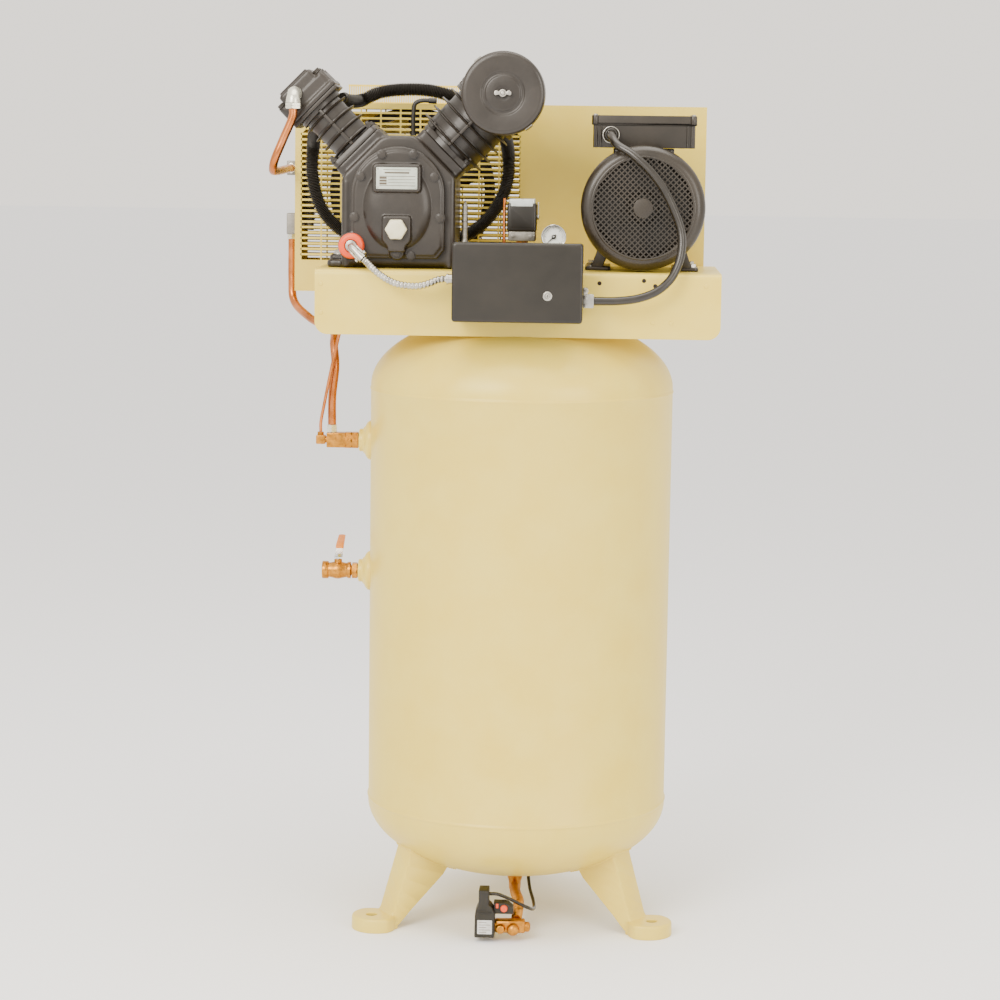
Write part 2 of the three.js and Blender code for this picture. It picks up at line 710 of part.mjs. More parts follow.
place('breather_tube', tube([
  [-222, -40, crankZ + crankcaseTop + clearance], [-222, -40, deck(303)], [-219, -40, deck(322)],
  [-208, -40, deck(328)], [-176, -40, deck(328)],
], 4.5, 8, 6), blackPaint);

// ---- discharge line from the high-pressure head --------------------------------------------
const elbowX = -452;
const elbowZ = deck(338);
const headFace = cylinderPlaneY - highHeadDepth;
place('discharge_elbow', join(
  bar('y', 15, headFace - 38, headFace - clearance, [elbowX, elbowZ], 10),
  bar('z', 14, elbowZ - 28, elbowZ + 6, [elbowX, headFace - 26], 10),
  bar('z', 16.5, elbowZ - 30, elbowZ - 18, [elbowX, headFace - 26], 6),
), paleGrey);

const coolerBlock = (low, high) => block([coolerX - 10, coolerY - 18, low],
  [guardLeft - clearance, coolerY + 18, high]);
place('discharge_tube', tube([
  [elbowX, headFace - 26, elbowZ - 30 - clearance], [elbowX, headFace - 26, elbowZ - 42],
  [elbowX - 20, headFace - 24, deck(248)], [coolerX + 6, headFace - 20, deck(208)],
  [coolerX, headFace + 4, deck(189)], [coolerX, headFace + 40, coolerTopZ - 4],
  [coolerX, coolerY - 40, coolerTopZ], [coolerX, coolerY - 18 - clearance, coolerTopZ],
], copperRadius, 20), copper);
place('aftercooler', join(
  coolerBlock(coolerTopZ - 15, coolerTopZ + 15), coolerBlock(coolerLowZ - 22, coolerLowZ + 22),
  bar('z', 11, coolerLowZ - 32, coolerLowZ - 20, [coolerX, coolerY], 6),
  bar('x', 6, guardLeft - 2, coolerInnerX, [coolerY, coolerTopZ], 10),
  bar('x', 6, guardLeft - 2, coolerInnerX, [coolerY, coolerLowZ], 10),
  bar('z', 11, coolerLowZ - 14, coolerTopZ + 14, [coolerInnerX, coolerY], 12),
), steel);

// ---- tank inlet: check valve, tank tube and pressure line ----------------------------------
const valveOut = couplingEnd + 2;
const blockOut = valveOut + 64;
const nutX = -(blockOut - 10);
const pilotX = -(blockOut + 13);
place('check_valve', join(
  bar('x', portRadius - clearance, -valveOut - 1, -tankRadius + 2, [0, inletHeight], 16),
  bar('x', 18.5, -valveOut - 27, -valveOut, [0, inletHeight], 6),
  block([-blockOut, -15, inletHeight - 15], [-valveOut - 25, 15, inletHeight + 15]),
  bar('z', 11, inletHeight + 14, inletHeight + 31, [nutX, 0], 6),
  bar('x', 8, -blockOut - 24, -blockOut + 1, [0, inletHeight], 10),
  bar('z', 7.5, inletHeight - 4, inletHeight + 16, [pilotX, 0], 6),
), brass);
place('tank_tube', tube([
  [coolerX, coolerY, coolerLowZ - 32 - clearance], [coolerX, coolerY, deck(18)],
  [coolerX, coolerY, deck(-40)], [coolerX + 4, coolerY - 8, deck(-84)],
  [coolerX + 46, coolerY - 76, deck(-118)], [nutX - 6, 70, inletHeight + 215],
  [nutX + 1, 18, inletHeight + 191], [nutX + 6, 1, inletHeight + 151],
  [nutX, 0, inletHeight + 85], [nutX, 0, inletHeight + 31 + clearance],
], copperRadius, 26), copper);
place('pressure_line', tube([
  [pilotX, 0, inletHeight + 16 + clearance], [pilotX, -1, inletHeight + 33],
  [pilotX + 8, -12, inletHeight + 73], [pilotX + 22, -16, inletHeight + 143],
  [pilotX + 40, -18, inletHeight + 223], [pilotX + 58, -26, deck(-60)],
  [pilotX + 110, -60, deck(-30)], [-180, -116, deck(-26)], [lineHoleX - 40, lineHoleY, deck(-26)],
  [lineHoleX - 8, lineHoleY, deck(-20)], [lineHoleX, lineHoleY, deck(-4)], [lineHoleX, lineHoleY, deck(58)],
  [lineHoleX, lineHoleY, deck(140)],
], pilotRadius, 30, 6), copper);

// ---- service valve -------------------------------------------------------------------------
const serviceIn = couplingEnd + 14;
const serviceOut = serviceIn + 60;
const stemX = -(serviceIn + 28);
const ballRadius = 12;
place('service_valve_body', cut(
  join(bar('x', portRadius - clearance, -serviceIn - 4, -tankRadius + 2, [0, outletHeight], 16),
    bar('x', 17.5, -serviceIn - 14, -serviceIn, [0, outletHeight], 6),
    turned('x', [[0, -serviceOut], [18, -serviceOut], [18, -serviceOut + 12], [15, -serviceOut + 16],
      [17, stemX], [16, -serviceIn - 6], [0, -serviceIn - 6]], [0, outletHeight], 10),
    bar('z', 8, outletHeight, outletHeight + 23, [stemX, 0], 8)),
  bar('x', 7.5, -serviceOut - 5, -tankRadius + 12, [0, outletHeight], 8),
  bar('x', ballRadius + 1, stemX - ballRadius - 1, stemX + ballRadius + 1, [0, outletHeight], 12),
  bar('z', 3.5 + clearance, outletHeight, outletHeight + 30, [stemX, 0], 8),
), brass);

const valveStem = group(stemX, 0, outletHeight);
const ball = new THREE.SphereGeometry(ballRadius, 10, 6);
const leverSide = outline([[-8, 24.5], [16, 24.5], [34, 44], [82, 58], [82, 62], [32, 48],
  [14, 28.5], [-8, 28.5]]);
const leverGeometry = new THREE.ExtrudeGeometry(leverSide, { depth: 17, bevelEnabled: false });
leverGeometry.rotateX(Math.PI / 2);
leverGeometry.rotateZ(Math.PI / 2);
leverGeometry.translate(-8.5, 0, 0);
place('service_valve_lever', cut(
  join(solid(leverGeometry), solid(ball), bar('z', 3.5, 5, 33, [0, 0], 8)),
  bar('y', 6, -20, 20, [0, 0], 8)), brass, valveStem);

// ---- air filter ----------------------------------------------------------------------------
const filterZ = platformTop + filterAbovePlatform;
const filterFront = -206;
const filterBack = -128;
const lowHeadFace = cylinderPlaneY - lowHeadDepth;
const filter = group(filterX, 0, filterZ);
place('filter_base', cut(
  join(turned('y', [[0, filterBack], [filterRadius - 3, filterBack], [filterRadius - 3, filterBack - 8],
    [24, filterBack - 8], [24, filterBack - 6], [0, filterBack - 6]], [0, 0], 20),
  bar('y', 24, filterBack - 6, lowHeadFace - clearance, [0, 0], 12),
  bar('y', 4, filterFront - 12, filterBack - 4, [0, 0], 8)),
  bar('y', 7, filterBack + 4, lowHeadFace + 4, [0, 0], 8),
), blackPaint, filter);
place('filter_cover', turned('y', [
  [4.6, filterFront], [filterRadius - 7, filterFront],
  [filterRadius, filterFront + 7], [filterRadius, filterBack - 9], [filterRadius - 2, filterBack - 9],
  [filterRadius - 2, filterFront + 8], [filterRadius - 8, filterFront + 2.5], [4.6, filterFront + 2.5],
  [4.6, filterFront],
], [0, 0], 24), blackPaint, filter);
place('filter_wing_nut', cut(
  join(bar('y', 8, filterFront - 9, filterFront - clearance, [0, 0], 8),
    block([-17, filterFront - 12, -2.5], [17, filterFront - 3, 2.5])),
  bar('y', 4 + clearance, filterFront - 20, filterFront + 5, [0, 0], 8),
), steel, filter);

// ---- motor ---------------------------------------------------------------------------------
// Solids in the rotor's group are about the motor's axis.
const feetBottom = -(motorAbovePlatform - clearance);
const statorBore = 70;
const terminalBottom = motorRadius + 4;
place('motor_frame', cut(
  join(bar('y', motorRadius, motorFront, motorBack, [0, 0], 24),
    block([-112, motorFront + 10, feetBottom], [-62, motorBack - 40, feetBottom + 12]),
    block([62, motorFront + 10, feetBottom], [112, motorBack - 40, feetBottom + 12]),
    block([-84, motorFront + 10, feetBottom + 6], [-66, motorBack - 40, -60]),
    block([66, motorFront + 10, feetBottom + 6], [84, motorBack - 40, -60]),
    block([-60, -80, 90], [60, 30, terminalBottom - clearance])),
  bar('y', statorBore + 2, motorFront + 14, motorBack - 14, [0, 0], 16),
  bar('y', motorShaftRadius + clearance, motorFront - 5, motorBack + 5, [0, 0], shaftSides),
), blackPaint, rotor);

place('motor_rotor', join(
  bar('y', motorShaftRadius, motorFront - 48, shaftEnd, [0, 0], shaftSides),
  bar('y', statorBore, motorFront + 24, motorBack - 24, [0, 0], 16),
), steel, rotor);

const shroudFront = motorFront - shroudDepth;
const fanBlades = [0, 1, 2, 3, 4, 5].map((k) => tilted(
  block([-2, motorFront - 42, 22], [2, motorFront - 16, 92]), k * 60));
place('motor_fan', cut(
  join(bar('y', 30, motorFront - 44, motorFront - 14, [0, 0], 16), ...fanBlades),
  bar('y', motorShaftRadius + clearance, motorFront - 60, motorFront, [0, 0], shaftSides),
), blackPlastic, rotor);

// The fan cover is a drum with a meshed front, drawn here as a ring, a hub and crossed bars.
const meshRadius = 99;
const meshBars = [-48, 0, 48].flatMap((at) => [
  block([at - 3, shroudFront, -meshRadius], [at + 3, shroudFront + 3, meshRadius]),
  block([-meshRadius, shroudFront, at - 3], [meshRadius, shroudFront + 3, at + 3]),
]);
const drumCut = bar('y', shroudRadius - 3, shroudFront + 3, motorFront + 30, [0, 0], 24);
const drum = cut(bar('y', shroudRadius, shroudFront, motorFront - clearance, [0, 0], 24), drumCut,
  bar('y', meshRadius - 2, shroudFront - 5, shroudFront + 10, [0, 0], 16));
place('motor_fan_cover', join(drum, ...meshBars,
  bar('y', 20, shroudFront, shroudFront + 3, [0, 0], 12)), blackPaint, rotor);

// Terminal box: an open tray on the frame with the motor lead's gland, and a lid that laps it.
const terminalHalf = 100;
const terminalTop = 160;
const terminalFront = -99.5;
const terminalBack = 12;
const glandX = -65;
const glandZ = 141;
const glandFront = terminalFront - 24;
place('terminal_box', join(
  cut(
    block([-terminalHalf, terminalFront, terminalBottom], [terminalHalf, terminalBack, terminalTop]),
    block([-terminalHalf + 3, terminalFront + 3, terminalBottom + 3],
      [terminalHalf - 3, terminalBack - 3, terminalTop + 5]),
  ),
  bar('y', 17, terminalFront - 10, terminalFront + 1, [glandX, glandZ], 6),
  bar('y', 13, glandFront, terminalFront - 9, [glandX, glandZ], 12),
), blackPaint, rotor);
place('terminal_box_lid', cut(
  block([-terminalHalf - 3, terminalFront - 3, terminalTop + clearance],
    [terminalHalf + 3, terminalBack + 3, terminalTop + 19]),
  block([-terminalHalf, terminalFront, terminalTop - 5], [terminalHalf, terminalBack, terminalTop + 16]),
), blackPaint, rotor);
// ---- control box ---------------------------------------------------------------------------
const boxLeft = boxCentreX - boxWidth / 2;
const boxRight = boxCentreX + boxWidth / 2;
const boxTop = boxBottom + boxHeight;
const boxBack = platformFront - clearance;
const boxFront = boxBack - boxDepth;
const traySplit = boxFront + lidDepth;
const leadPortZ = boxBottom + 41;
const conduitPortZ = boxBottom + 79;
const portY = boxBack - 48;
const leadConnectorEnd = boxRight + 16;
const conduitConnectorEnd = boxLeft - 13;
place('control_box', join(
  cut(
    block([boxLeft + boxWall, traySplit + clearance, boxBottom + boxWall],
      [boxRight - boxWall, boxBack, boxTop - boxWall]),
    block([boxLeft + 2 * boxWall, traySplit - 5, boxBottom + 2 * boxWall],
      [boxRight - 2 * boxWall, boxBack - boxWall, boxTop - 2 * boxWall]),
  ),
  bar('x', 13, boxRight - boxWall - 1, boxRight + 5, [portY, leadPortZ], 6),
  bar('x', 11, boxRight + 4, leadConnectorEnd, [portY, leadPortZ], 12),
  bar('x', 12, boxLeft - 5, boxLeft + boxWall + 1, [portY, conduitPortZ], 6),
  bar('x', 9.5, conduitConnectorEnd, boxLeft - 4, [portY, conduitPortZ], 12),
), blackPlastic);
const lockX = boxCentreX + 58;
const lockZ = boxBottom + 52;
place('control_box_lid', cut(
  block([boxLeft, boxFront, boxBottom], [boxRight, traySplit, boxTop]),
  block([boxLeft + boxWall, boxFront + boxWall, boxBottom + boxWall],
    [boxRight - boxWall, traySplit + 5, boxTop - boxWall]),
  bar('y', 5, boxFront - 5, boxFront + 10, [lockX, lockZ], 12),
), blackPlastic);
place('lid_lock', join(
  bar('y', 9, boxFront - 3, boxFront - clearance, [lockX, lockZ], 16),
  bar('y', 4.5, boxFront - 1, boxFront + 14, [lockX, lockZ], 12),
), steel);
place('motor_lead', tube([
  [motorX + glandX, glandFront - clearance, motorZ + glandZ],
  [motorX + glandX, glandFront - 12, motorZ + glandZ], [173, -156, deck(262)],
  [183, -178, deck(247)], [212, -192, deck(229)], [247, -200, deck(198)],
  [273, -204, deck(165)], [294, -208, deck(125)], [309, -213, deck(83)],
  [311, -219, deck(51)], [305, -226, deck(20)], [291, -234, deck(-8)],
  [266, -241, deck(-31)], [232, -246, deck(-45)], [192, -248.3, leadPortZ + 1],
  [leadConnectorEnd + 16, portY, leadPortZ], [leadConnectorEnd + clearance, portY, leadPortZ],
], leadRadius, 30), rubber);

// The conduit sags between the clamp and the box: its places across are shares of that gap.
const fromClamp = (distance) => beyondClamp(distance)
  .map((value, k) => value + [crankX, 0, crankZ][k]);
const conduitStart = fromClamp(9);
const conduitX = (share) => conduitStart[0] + share * (conduitConnectorEnd - conduitStart[0]);
place('conduit', tube([
  fromClamp(clearance + 0.1), conduitStart, [conduitX(0.09), -216, deck(3)],
  [conduitX(0.206), -226, deck(-11)], [conduitX(0.354), -236, deck(-23)],
  [conduitX(0.509), -243, deck(-28)], [conduitX(0.673), -247, deck(-28)],
  [conduitX(0.803), -248.3, deck(-22)], [conduitX(0.889), portY, deck(-16)],
  [conduitX(0.957), portY, conduitPortZ], [conduitConnectorEnd - clearance, portY, conduitPortZ],
], conduitRadius, 22), steel);

// ---- pressure switch and gauge -------------------------------------------------------------
const manifoldZ = platformTop + 36;
const switchY = -112;
const gaugeX = 63;
const gaugeZ = platformTop + 67;
const gaugeFace = switchY - 58;
place('manifold', join(
  bar('z', 10, platformTop + clearance, platformTop + 57 - clearance, [0, switchY], 10),
  bar('x', 9, -100, gaugeX + 8, [switchY, manifoldZ], 10),
  bar('z', 8, manifoldZ, gaugeZ, [gaugeX, switchY], 8),
  bar('y', 8, gaugeFace + 24 + clearance, switchY + 6, [gaugeX, gaugeZ], 8),
), brass);
const switchLow = platformTop + 57;
const pivotZ = switchLow + 46;
place('pressure_switch', join(
  block([-27, switchY - 30, switchLow], [27, switchY + 30, switchLow + 20]),
  block([-29, switchY - 33, switchLow + 19], [28, switchY + 33, switchLow + 74]),
  block([-22, switchY - 31, switchLow + 73], [25, switchY + 31, switchLow + 82]),
), blackPlastic);
const leverGroup = group(28, switchY, pivotZ);
place('switch_lever', join(
  bar('x', 5, clearance, 5, [0, 0], 10),
  block([1.5, -3, 0], [4.5, 3, 30]),
), steel, leverGroup);

const gauge = group(gaugeX, gaugeFace, gaugeZ);
place('pressure_gauge', cut(
  join(bar('y', 24, 0, 24, [0, 0], 20), bar('y', 2, 2, 20, [0, 0], 8)),
  cut(bar('y', 21, -2, 12, [0, 0], 20), bar('y', 2, -3, 13, [0, 0], 8)),
), steel, gauge);
const needleAtZero = -135;        // degrees from upright
place('gauge_needle', tilted(cut(
  join(bar('y', 4, 5, 8, [0, 0], 8), block([-1, 5.5, 0], [1, 7.5, 17])),
  bar('y', 2.4, 0, 15, [0, 0], 8),
), needleAtZero), blackPlastic, gauge);

place('safety_valve', join(
  bar('x', 11, -126, -100 - clearance, [switchY, manifoldZ], 6),
  bar('z', 6, manifoldZ, manifoldZ + 100, [-113, switchY], 8),
), steel);

// ---- drain ---------------------------------------------------------------------------------
const drainZ = 46;
const drainX = 12;
const drainFront = -226;
const drainValveY = drainFront - 16;
place('drain_valve', join(
  bar('z', portRadius - clearance, drainZ - 8, tankBottom + 8, [0, 0], 12),
  turned('z', [[0, tankBottom - 30], [13, tankBottom - 30], [21, tankBottom - 3],
    [0, tankBottom - 3]], [0, 0], 12),
  tube([[0, 14, drainZ], [0, -10, drainZ], [4, -60, drainZ], [drainX, -120, drainZ],
    [drainX, drainFront, drainZ - 6]], 11, 6),
  block([-30, drainValveY - 14, 14], [30, drainFront + 4, 46]),
  bar('x', 10, 28, 40, [drainValveY, 28], 10),
  bar('y', 11, drainValveY - 26, drainValveY - 12, [2, 25], 12),
), brass);
const timerRight = -30 - clearance;
place('drain_timer', join(
  block([timerRight - 40, drainValveY - 24, 10], [timerRight, drainValveY + 18, 72]),
  block([timerRight - 32, drainValveY - 12, 70], [timerRight - 12, drainValveY + 8, 106]),
  block([timerRight - 2, drainValveY - 12, 56], [timerRight + 36, drainValveY + 18, 78]),
), blackPlastic);
const knob = group(timerRight + 18, drainValveY - 12, 68);
place('drain_timer_knob', bar('y', 7, -6, -clearance, [0, 0], 10), signal, knob);
place('drain_lead', tube([
  [timerRight - 12 + clearance, drainValveY - 2, 94], [timerRight + 2, drainValveY - 2, 94],
  [-6, drainValveY + 26, 78], [34, -190, 52], [44, -150, 40], [42, -110, 44], [34, -74, 58],
  [30, -50, 72], [29, -44, 80],
], 3.6, 18), rubber);

// ---- origin at the middle of the footprint, on the floor -----------------------------------
const whole = new THREE.Box3().setFromObject(compressor);
compressor.position.set(-(whole.min.x + whole.max.x) / 2, -(whole.min.y + whole.max.y) / 2,
  -whole.min.z);

export default compressor;
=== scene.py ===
"""Two-stage vertical tank compressor: what shows of each piece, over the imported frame."""

import bmesh
import bpy
import numpy as np
from mathutils import Matrix, Vector


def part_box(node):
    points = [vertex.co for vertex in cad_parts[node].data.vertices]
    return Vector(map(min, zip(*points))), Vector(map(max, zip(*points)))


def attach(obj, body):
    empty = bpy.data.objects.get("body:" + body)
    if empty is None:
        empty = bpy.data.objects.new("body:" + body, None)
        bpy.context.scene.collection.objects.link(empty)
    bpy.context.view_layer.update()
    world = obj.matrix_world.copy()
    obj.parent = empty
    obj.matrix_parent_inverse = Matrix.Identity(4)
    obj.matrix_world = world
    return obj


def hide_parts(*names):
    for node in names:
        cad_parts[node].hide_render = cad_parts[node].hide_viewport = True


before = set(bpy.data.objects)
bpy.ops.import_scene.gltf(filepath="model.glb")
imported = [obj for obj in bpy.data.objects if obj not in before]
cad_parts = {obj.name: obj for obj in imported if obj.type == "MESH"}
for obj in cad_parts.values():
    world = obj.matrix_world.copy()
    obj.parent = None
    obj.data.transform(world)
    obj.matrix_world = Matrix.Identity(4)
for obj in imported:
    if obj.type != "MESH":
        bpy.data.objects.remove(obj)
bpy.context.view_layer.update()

# ---- Studio ----------------------------------------------------------------------------
# A white floor, one large softbox high on the left, a wide fill on the right, one overhead
# and pale surroundings. The camera stands 5.5 m in front of the tank, at the height of its upper seam.
TANK_X = sum(corner.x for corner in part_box("leg_rear")) / 2
TANK_Y = sum(corner.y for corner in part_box("tank_shell")) / 2
camera_azimuth = np.radians(2.3)
camera_tilt = 0.1288
camera_roll = 0.0135
camera_distance = 5.5
camera_side = -0.04126
camera_height = 1.5618


def linear(colour):
    """An sRGB hex colour as linear RGBA: low values over 12.92, the rest on the 2.4 power curve."""
    value = np.array([int(colour[i:i + 2], 16) for i in (1, 3, 5)]) / 255
    value = np.where(value < 0.04045, value / 12.92, ((value + 0.055) / 1.055) ** 2.4)
    return (*value.tolist(), 1.0)


def node(tree, kind, inputs=None, **settings):
    """Adds one shader node: settings are its properties, inputs its socket values or links."""
    made = tree.nodes.new("ShaderNode" + kind)
    for key, value in settings.items():
        setattr(made, key, value)
    for key, value in (inputs or {}).items():
        if isinstance(value, bpy.types.NodeSocket):
            tree.links.new(value, made.inputs[key])
        else:
            made.inputs[key].default_value = value
    return made


def grid(rows, columns, wrap_rows=False, wrap_columns=False):
    """The quads between neighbouring points of a grid that is stored row after row."""
    r = np.arange(rows if wrap_rows else rows - 1)[:, None]
    c = np.arange(columns if wrap_columns else columns - 1)[None, :]
    after_r, after_c = (r + 1) % rows, (c + 1) % columns
    quads = np.broadcast_arrays(r * columns + c, r * columns + after_c,
                                after_r * columns + after_c, after_r * columns + c)
    return np.stack(quads, -1).reshape(-1, 4).tolist()


paper = bpy.data.materials.new("studio_paper")
paper.use_nodes = True
tree = paper.node_tree
tooth = node(tree, "TexNoise", {"Scale": 900.0, "Detail": 2.0})
shader = tree.nodes["Principled BSDF"]
shader.inputs["Base Color"].default_value = linear("#f6f8fc")
shader.inputs["Roughness"].default_value = 0.9
tree.links.new(node(tree, "Bump", {"Strength": 0.02, "Height": tooth.outputs["Fac"]})
               .outputs["Normal"], shader.inputs["Normal"])

# The floor is one flat sheet, wide enough for its far edge to fade into the surroundings.
floor_reach = 60.0
mesh = bpy.data.meshes.new("paper_floor")
mesh.from_pydata([(x * floor_reach, y * floor_reach, 0)
                  for x, y in ((-1, -1), (1, -1), (1, 1), (-1, 1))], [], [(0, 1, 2, 3)])
mesh.materials.append(paper)
floor_object = bpy.data.objects.new("paper_floor", mesh)
bpy.context.scene.collection.objects.link(floor_object)

daylight = linear("#fff8ee")
world = bpy.data.worlds.new("pale_room")
world.use_nodes = True
world.node_tree.nodes["Background"].inputs["Color"].default_value = daylight
world.node_tree.nodes["Background"].inputs["Strength"].default_value = 1.7
bpy.context.scene.world = world

# Each softbox: where it stands, what it faces, its width and height in metres, its power.
softboxes = {
    "key_softbox": ((-2.2, -4.6, 3.7), (0.0, 0.0, 1.1), 2.6, 2.6, 330.0),
    "fill_softbox": ((3.4, -4.2, 2.2), (0.1, 0.0, 1.0), 2.2, 2.6, 120.0),
    "top_softbox": ((0.2, -0.4, 4.4), (0.0, 0.0, 0.0), 3.0, 2.4, 120.0),
}
for name, (place, target, width, height, power) in softboxes.items():
    light = bpy.data.lights.new(name, "AREA")
    light.shape = "RECTANGLE"
    light.size, light.size_y = width, height
    light.energy = power
    light.color = daylight[:3]
    lamp = bpy.data.objects.new(name, light)
    aim = (Vector(target) - Vector(place)).to_track_quat("-Z", "Y")
    lamp.matrix_world = Matrix.Translation(place) @ aim.to_matrix().to_4x4()
    bpy.context.scene.collection.objects.link(lamp)

sine, cosine = np.sin(camera_azimuth), np.cos(camera_azimuth)
stand_point = Vector((
    TANK_X + camera_side * cosine + camera_distance * sine,
    TANK_Y + camera_side * sine - camera_distance * cosine,
    camera_height,
))
forward = Vector((-sine * np.cos(camera_tilt), cosine * np.cos(camera_tilt),
                  -np.sin(camera_tilt)))
lens = bpy.data.cameras.new("camera")
lens.sensor_width = 36.0
lens.lens = 98.18
camera = bpy.data.objects.new("camera", lens)
camera.matrix_world = (Matrix.Translation(stand_point)
                       @ forward.to_track_quat("-Z", "Y").to_matrix().to_4x4()
                       @ Matrix.Rotation(camera_roll, 4, "Z"))
bpy.context.scene.collection.objects.link(camera)
bpy.context.scene.camera = camera

# ---- Receiver tank -----------------------------------------------------------------------
# Rolled steel shell with two 2:1 dished heads, lap welded at both seams, and a threaded
# coupling on a round pad at each side port. Primed and sprayed with cream enamel.


def corners(name):
    """A node's lowest and highest corner in millimetres, about the tank's axis on the floor."""
    low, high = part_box(name)
    origin = np.array([TANK_X, TANK_Y, 0.0])
    return (np.array(low) - origin) * 1000, (np.array(high) - origin) * 1000


def centre(name):
    """The middle of a node's box, in the same millimetres."""
    return sum(corners(name)) / 2


def rounded(points, radius, steps=5, closed=False):
    """A polyline whose corners are parabolic arcs: each corner is the control point of a curve
    between the points that lie a radius before and after it. A radius list sets each corner."""
    points = np.array(points, float)
    reach = np.broadcast_to(np.array(radius, float), (len(points),))[:, None]
    before = np.roll(points, 1, 0) - points
    after = np.roll(points, -1, 0) - points
    gap_before = np.linalg.norm(before, axis=1, keepdims=True)
    gap_after = np.linalg.norm(after, axis=1, keepdims=True)
    start = points + before / gap_before * np.minimum(reach, gap_before / 2)
    end = points + after / gap_after * np.minimum(reach, gap_after / 2)
    t = np.linspace(0, 1, steps)[None, :, None]
    curve = ((1 - t) ** 2 * start[:, None] + 2 * t * (1 - t) * points[:, None]
             + t ** 2 * end[:, None])
    if not closed:
        curve[0], curve[-1] = points[0], points[-1]
    line = curve.reshape(-1, points.shape[1])
    apart = np.linalg.norm(line - np.roll(line, 1, 0), axis=1) > 1e-5
    apart[0] = apart[0] or not closed
    return line[apart]


def turned(profile, axis, middle, sides=48):
    """A turned shape: profile points (radius, distance) are carried round a line along an axis."""
    profile = np.array(profile, float)
    turn = np.linspace(0, 2 * np.pi, sides, endpoint=False)
    u = profile[:, :1] * np.cos(turn)
    v = profile[:, :1] * np.sin(turn)
    w = profile[:, 1:] + 0 * turn
    xyz = {"x": (w, u, v), "y": (v, w, u), "z": (u, v, w)}[axis]
    return np.stack(xyz, -1).reshape(-1, 3) + middle, grid(len(profile), sides, False, True)


def piece(name, parts, look, body="stand", stands_for=(), crease=35.0):
    """Joins parts, given in millimetres about the tank's axis, into one object in metres. Points
    that meet are merged, faces are turned outwards and edges past the crease angle stay sharp."""
    points, faces, start = [], [], 0
    for some_points, some_faces in parts:
        points.append(np.asarray(some_points, float))
        faces += [[start + i for i in face] for face in some_faces]
        start += len(some_points)
    place = np.concatenate(points) / 1000 + [TANK_X, TANK_Y, 0.0]
    mesh = bpy.data.meshes.new(name)
    mesh.from_pydata(place.tolist(), [], faces)
    work = bmesh.new()
    work.from_mesh(mesh)
    bmesh.ops.remove_doubles(work, verts=work.verts, dist=2e-6)
    bmesh.ops.dissolve_degenerate(work, edges=work.edges, dist=1e-7)
    bmesh.ops.recalc_face_normals(work, faces=work.faces)
    work.to_mesh(mesh)
    work.free()
    mesh.polygons.foreach_set("use_smooth", [True] * len(mesh.polygons))
    mesh.set_sharp_from_angle(angle=np.radians(crease))
    mesh.materials.append(look)
    made = bpy.data.objects.new(name, mesh)
    bpy.context.scene.collection.objects.link(made)
    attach(made, body)
    if stands_for:
        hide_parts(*stands_for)
    return made


def coating(name, slot, colours, roughness, grain, lump=(0.0, 0.0), metallic=0.0, coat=0.0,
            patch=90.0, ior=1.5):
    """A finish that is never quite even: two colours in soft patches some millimetres wide,
    roughness between two values, and bumps. grain and lump are (width, height) in millimetres of
    the fine and the coarse bumps."""
    look = bpy.data.materials.new(name)
    look.use_nodes = True
    look["slot"] = slot
    tree = look.node_tree
    place = node(tree, "TexCoord").outputs["Object"]
    cloud = node(tree, "TexNoise", {"Vector": place, "Scale": 1000 / patch, "Detail": 4.0,
                                    "Roughness": 0.6}).outputs["Fac"]
    spread = node(tree, "MapRange", {"Value": cloud, "From Min": 0.32, "From Max": 0.68})
    fine = node(tree, "TexNoise", {"Vector": place, "Scale": 1000 / grain[0], "Detail": 3.0,
                                   "Roughness": 0.55}).outputs["Fac"]
    ramp = node(tree, "ValToRGB", {"Fac": spread.outputs["Result"]})
    ramp.color_ramp.elements[0].color = linear(colours[0])
    ramp.color_ramp.elements[1].color = linear(colours[1])
    gloss = node(tree, "MapRange", {"Value": cloud, "From Min": 0.3, "From Max": 0.7,
                                    "To Min": roughness[0], "To Max": roughness[1]})
    bump = node(tree, "Bump", {"Height": fine, "Distance": grain[1] / 1000, "Strength": 1.0})
    if lump[1]:
        coarse = node(tree, "TexNoise", {"Vector": place, "Scale": 1000 / lump[0],
                                         "Detail": 2.0}).outputs["Fac"]
        bump = node(tree, "Bump", {"Height": coarse, "Distance": lump[1] / 1000,
                                   "Strength": 1.0, "Normal": bump.outputs["Normal"]})
    shader = tree.nodes["Principled BSDF"]
    shader.inputs["Metallic"].default_value = metallic
    shader.inputs["IOR"].default_value = ior
    shader.inputs["Coat Weight"].default_value = coat
    shader.inputs["Coat Roughness"].default_value = 0.12
    tree.links.new(ramp.outputs["Color"], shader.inputs["Base Color"])
    tree.links.new(gloss.outputs["Result"], shader.inputs["Roughness"])
    tree.links.new(bump.outputs["Normal"], shader.inputs["Normal"])
    return look


# Sprayed alkyd enamel: warm, a little glossy, with the fine orange peel of a spray gun.
cream_enamel = coating("cream_enamel", "cream_enamel", ("#ddc24c", "#e0c85a"), (0.3, 0.42),
                       (3.2, 0.035), lump=(70.0, 0.25))

tank_low, tank_high = corners("tank_shell")
tank_radius = tank_high[1] - 1.6
head_depth = 150.0
head_skirt = 8.0
lower_seam = tank_low[2] + head_depth + head_skirt
upper_seam = tank_high[2] - head_depth - head_skirt
coupling_end = tank_low[0]
inlet_z = upper_seam - 108
outlet_z = lower_seam + 455


def bead(z, width=7.0, height=1.5):
    """Profile points of a weld bead: half a sine wave standing on the shell."""
    t = np.linspace(0, 1, 9)
    return np.stack([tank_radius + height * np.sin(np.pi * t), z + width * (t - 0.5)], 1)


